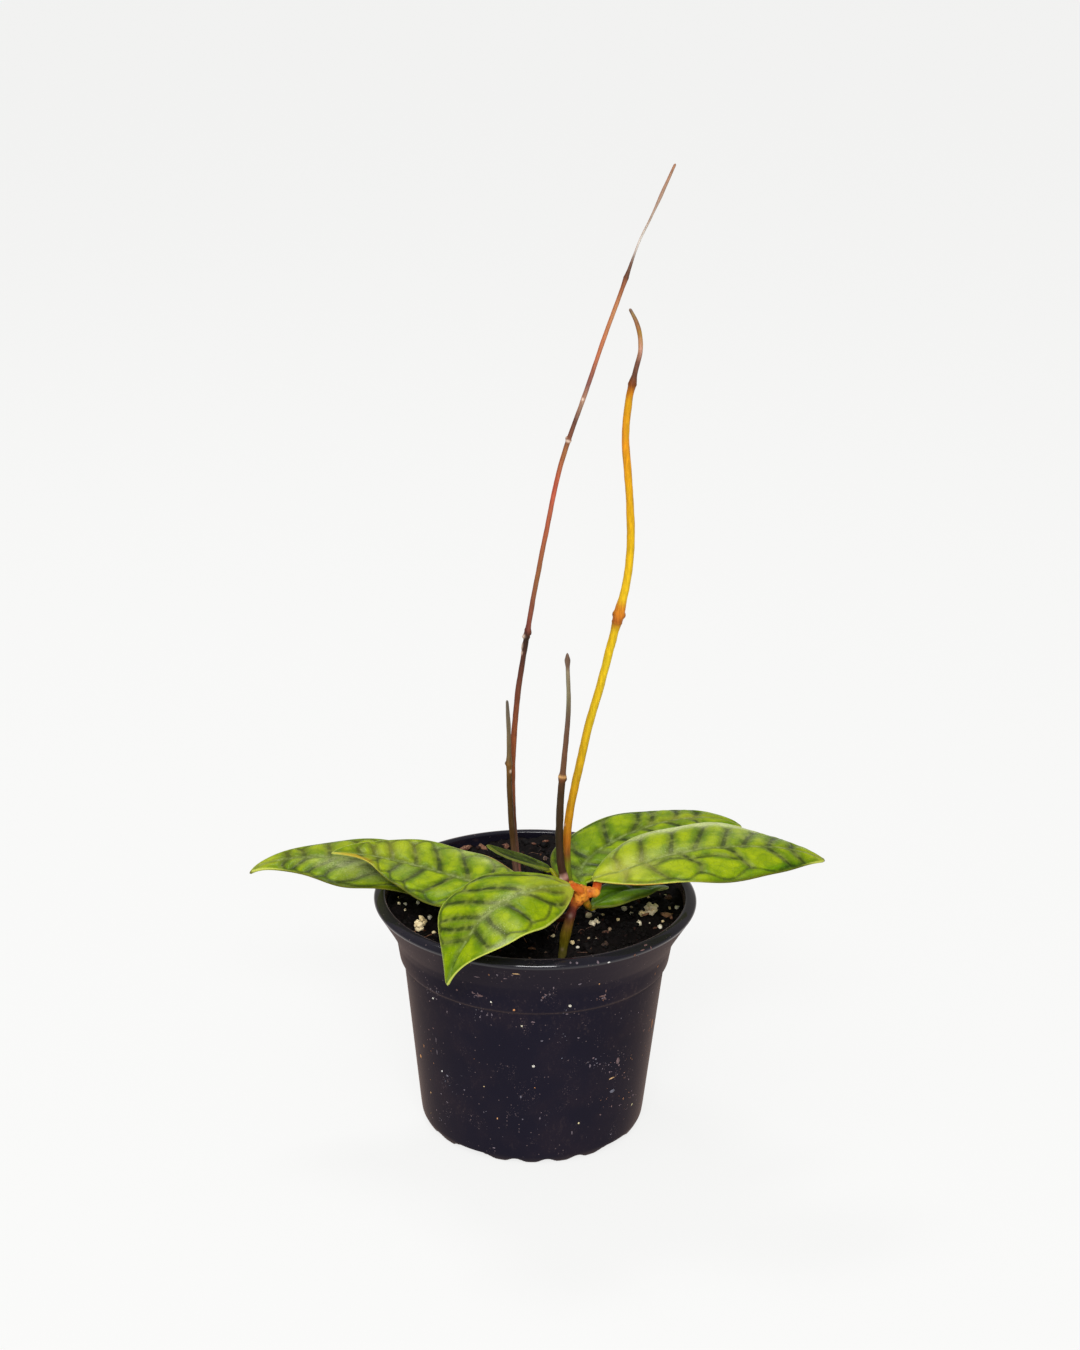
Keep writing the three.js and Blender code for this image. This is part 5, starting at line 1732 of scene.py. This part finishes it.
def leaf_look(settings):
    """Waxy green cells between dark veins, a pale margin and midrib, and a paler underside."""
    look = Look("hoya_leaf")
    vein, arch, rib, edge, under, stalk = map(
        look.value, ("vein", "arch", "rib", "edge", "under", "stalk"))
    frost, shade, pale, rust, shine, olive, amber = map(look.value, TINTS)
    drift = look.noise(6, 2)
    patch = look.noise(4.5, 2)
    mottle = look.noise(2.0, 3, 0.6)
    fine = look.noise(0.5, 3, 0.6)
    wobble = (mottle - 0.5) * 0.9 + (fine - 0.5) * 0.5
    # Cells between the veins, soft dark bands beside the veins and a fine net of small veins
    open_cell = look.rise(vein + wobble, 1.2, 3.2) * look.rise(edge, 1, 3)
    bright = look.rise(drift, 0.36, 0.64) * 0.7 + open_cell * 0.4 - 0.1
    colour = look.mix(bright, settings.cell_shade, settings.cell)
    colour = look.tinted(look.rise(fine, 0.5, 0.3) * 0.3, colour, (0.7, 0.78, 0.6))
    band = look.rise(vein + wobble, 1.8, 0.2)
    band_colour = look.mix(look.rise(patch, 0.4, 0.62), paint(60, 78, 12), paint(116, 128, 44))
    colour = look.mix(band * 0.68, colour, band_colour)
    network = look.rise(look.cells(3.4, "DISTANCE_TO_EDGE"), 0.07, 0.0)
    colour = look.tinted(network * 0.3, colour, (0.5, 0.55, 0.4))
    # The arches, the side veins and the dark flanks of the midrib
    faint = look.rise(arch + (fine - 0.5) * 0.7, 0.7, -0.3) * (look.rise(mottle, 0.3, 0.52) * 0.5 + 0.5)
    colour = look.mix(faint * 0.74, colour, settings.vein)
    core = look.rise(vein + (fine - 0.5) * 0.6, 0.4, -0.35)
    core_colour = look.mix(look.rise(patch, 0.5, 0.68), settings.vein, paint(104, 114, 50))
    colour = look.mix(core * (look.rise(mottle, 0.32, 0.56) * 0.36 + 0.6), colour, core_colour)
    flank = look.rise(rib + wobble * 0.6, 1.9, 0.5)
    colour = look.mix(flank * 0.5, colour, paint(88, 100, 32))
    # Pale parts, bloom with a painted reflection along a far margin, painted highlights, and then the
    # midrib over them
    colour = look.mix(pale * 0.7, colour, paint(188, 188, 62))
    speckle = look.rise(fine * 0.6 + mottle * 0.4, 0.42, 0.6)
    bloom_and_reflection = frost * (speckle * 0.6 + 0.4)
    # Painted reflection: the pale bloom colour also stands for the sky reflected along a far margin
    colour = look.mix(bloom_and_reflection * 0.6, colour, paint(188, 196, 134))
    # Painted highlight: the colour is lightened where the gloss would catch the light
    colour = look.mix(shine * (speckle * 0.35 + 0.65) * 0.8, colour, paint(204, 212, 152))
    midrib = look.rise(rib + (fine - 0.5) * 0.6, 0.9, 0.1)
    midrib_colour = look.mix(look.rise(mottle, 0.4, 0.6), paint(96, 112, 44), paint(146, 158, 92))
    colour = look.mix(midrib * 0.6, colour, midrib_colour)
    # Painted shade and shadow, olive darkening, and small painted glints where the bloom and painted
    # highlights are
    colour = look.tinted(shade * 0.9, colour, (0.34, 0.6, 0.16))
    colour = look.tinted(olive * 0.85, colour, (0.36, 0.3, 0.14))
    # Painted glints: small pale specks that stand for sparkles of light, most where the bloom and
    # highlights are
    chance = look.split(look.cells(0.6, output="Color"), "X")
    painted_glint = look.rise(look.cells(0.6), 0.3, 0.1) * (chance > 0.72)
    painted_glint = painted_glint * (frost * 0.9 + shine * 0.6 + 0.12)
    colour = look.mix(painted_glint * 0.7, colour, paint(226, 230, 190))
    # A pale margin, dulled and darkened where the painted shade and olive darkening lie
    margin = look.rise(edge + (fine - 0.5) * 0.4, 0.75, 0.2)
    dull = look.rise(shade + olive, 0.25, 0.75)
    colour = look.mix(margin * (1 - dull * 0.8) * 0.9, colour, settings.rim)
    colour = look.tinted(margin * dull * 0.7, colour, (0.55, 0.45, 0.3))
    colour = look.mix(amber * (mottle * 0.5 + 0.6) * 0.8, colour, paint(170, 130, 20))
    # The underside, rusty patches and the stalk
    beneath = look.mix(mottle, paint(140, 156, 74), paint(158, 172, 96))
    beneath = look.mix(core * 0.5 + midrib * 0.4, beneath, paint(112, 130, 62))
    colour = look.mix(under, colour, beneath)
    rusty = look.mix(mottle, paint(120, 46, 10), paint(206, 108, 30))
    colour = look.mix(rust * look.rise(mottle + rust, 0.7, 1.1), colour, rusty)
    stops = [
        (0, paint(120, 156, 14)), (0.3, paint(132, 120, 20)), (0.5, paint(214, 120, 42)),
        (0.7, paint(176, 72, 18)), (0.85, paint(130, 42, 12)), (1, paint(50, 20, 14)),
    ]
    colour = look.mix(stalk, colour, look.ramp(rust + (mottle - 0.5) * 0.35, stops))
    rough = 0.3 + fine * 0.14 + bloom_and_reflection * 0.2 + under * 0.15
    relief = fine * 0.4 + mottle * 0.6 - core * 0.35 - network * 0.15
    return look.finish(Base_Color=colour, Roughness=rough, Specular_IOR_Level=0.05,
                       Coat_Weight=0.07, Coat_Roughness=0.24, Normal=look.bump(relief, 0.24))


class HOYA_OT_leaves(bpy.types.Operator):
    """Grow the seven veined leaves with their stalks"""

    bl_idname = "hoya.leaves"
    bl_label = "Leaves"

    def execute(self, context):
        settings = context.scene.hoya_leaf
        look = leaf_look(settings)
        for seed, (name, leaf) in enumerate(LEAVES.items(), start=SEEDS["leaves"]):
            mesh = leaf_shape(leaf, settings, seed).mesh(name + "_skin")
            show(name + "_skin", mesh, look, [name])
        return {"FINISHED"}


# Panel, registration and main


OPERATORS = (
    HOYA_OT_stage, HOYA_OT_pot, HOYA_OT_soil, HOYA_OT_rooted_stem, HOYA_OT_vines, HOYA_OT_leaves,
)
GROUPS = {
    "hoya_stage": HoyaStage,
    "hoya_pot": HoyaPot,
    "hoya_soil": HoyaSoil,
    "hoya_stem": HoyaStem,
    "hoya_leaf": HoyaLeaf,
}


class HOYA_PT_parts(bpy.types.Panel):
    """Sizes, colours and building steps of the potted hoya"""

    bl_label = "Potted hoya"
    bl_idname = "HOYA_PT_parts"
    bl_space_type = "VIEW_3D"
    bl_region_type = "UI"
    bl_category = "Hoya"

    def draw(self, context):
        for name, group in GROUPS.items():
            box = self.layout.box()
            box.label(text=group.__doc__)
            for key in group.__annotations__:
                box.prop(getattr(context.scene, name), key)
        for operator in OPERATORS:
            self.layout.operator(operator.bl_idname)


def register():
    for group in GROUPS.values():
        bpy.utils.register_class(group)
    for name, group in GROUPS.items():
        setattr(bpy.types.Scene, name, bpy.props.PointerProperty(type=group))
    for operator in (*OPERATORS, HOYA_PT_parts):
        bpy.utils.register_class(operator)


def unregister():
    for operator in (HOYA_PT_parts, *reversed(OPERATORS)):
        bpy.utils.unregister_class(operator)
    for name, group in GROUPS.items():
        delattr(bpy.types.Scene, name)
        bpy.utils.unregister_class(group)


def main():
    register()
    bpy.ops.hoya.stage()
    bpy.ops.hoya.pot()
    bpy.ops.hoya.soil()
    bpy.ops.hoya.rooted_stem()
    bpy.ops.hoya.vines()
    bpy.ops.hoya.leaves()


if __name__ == "__main__":
    main()
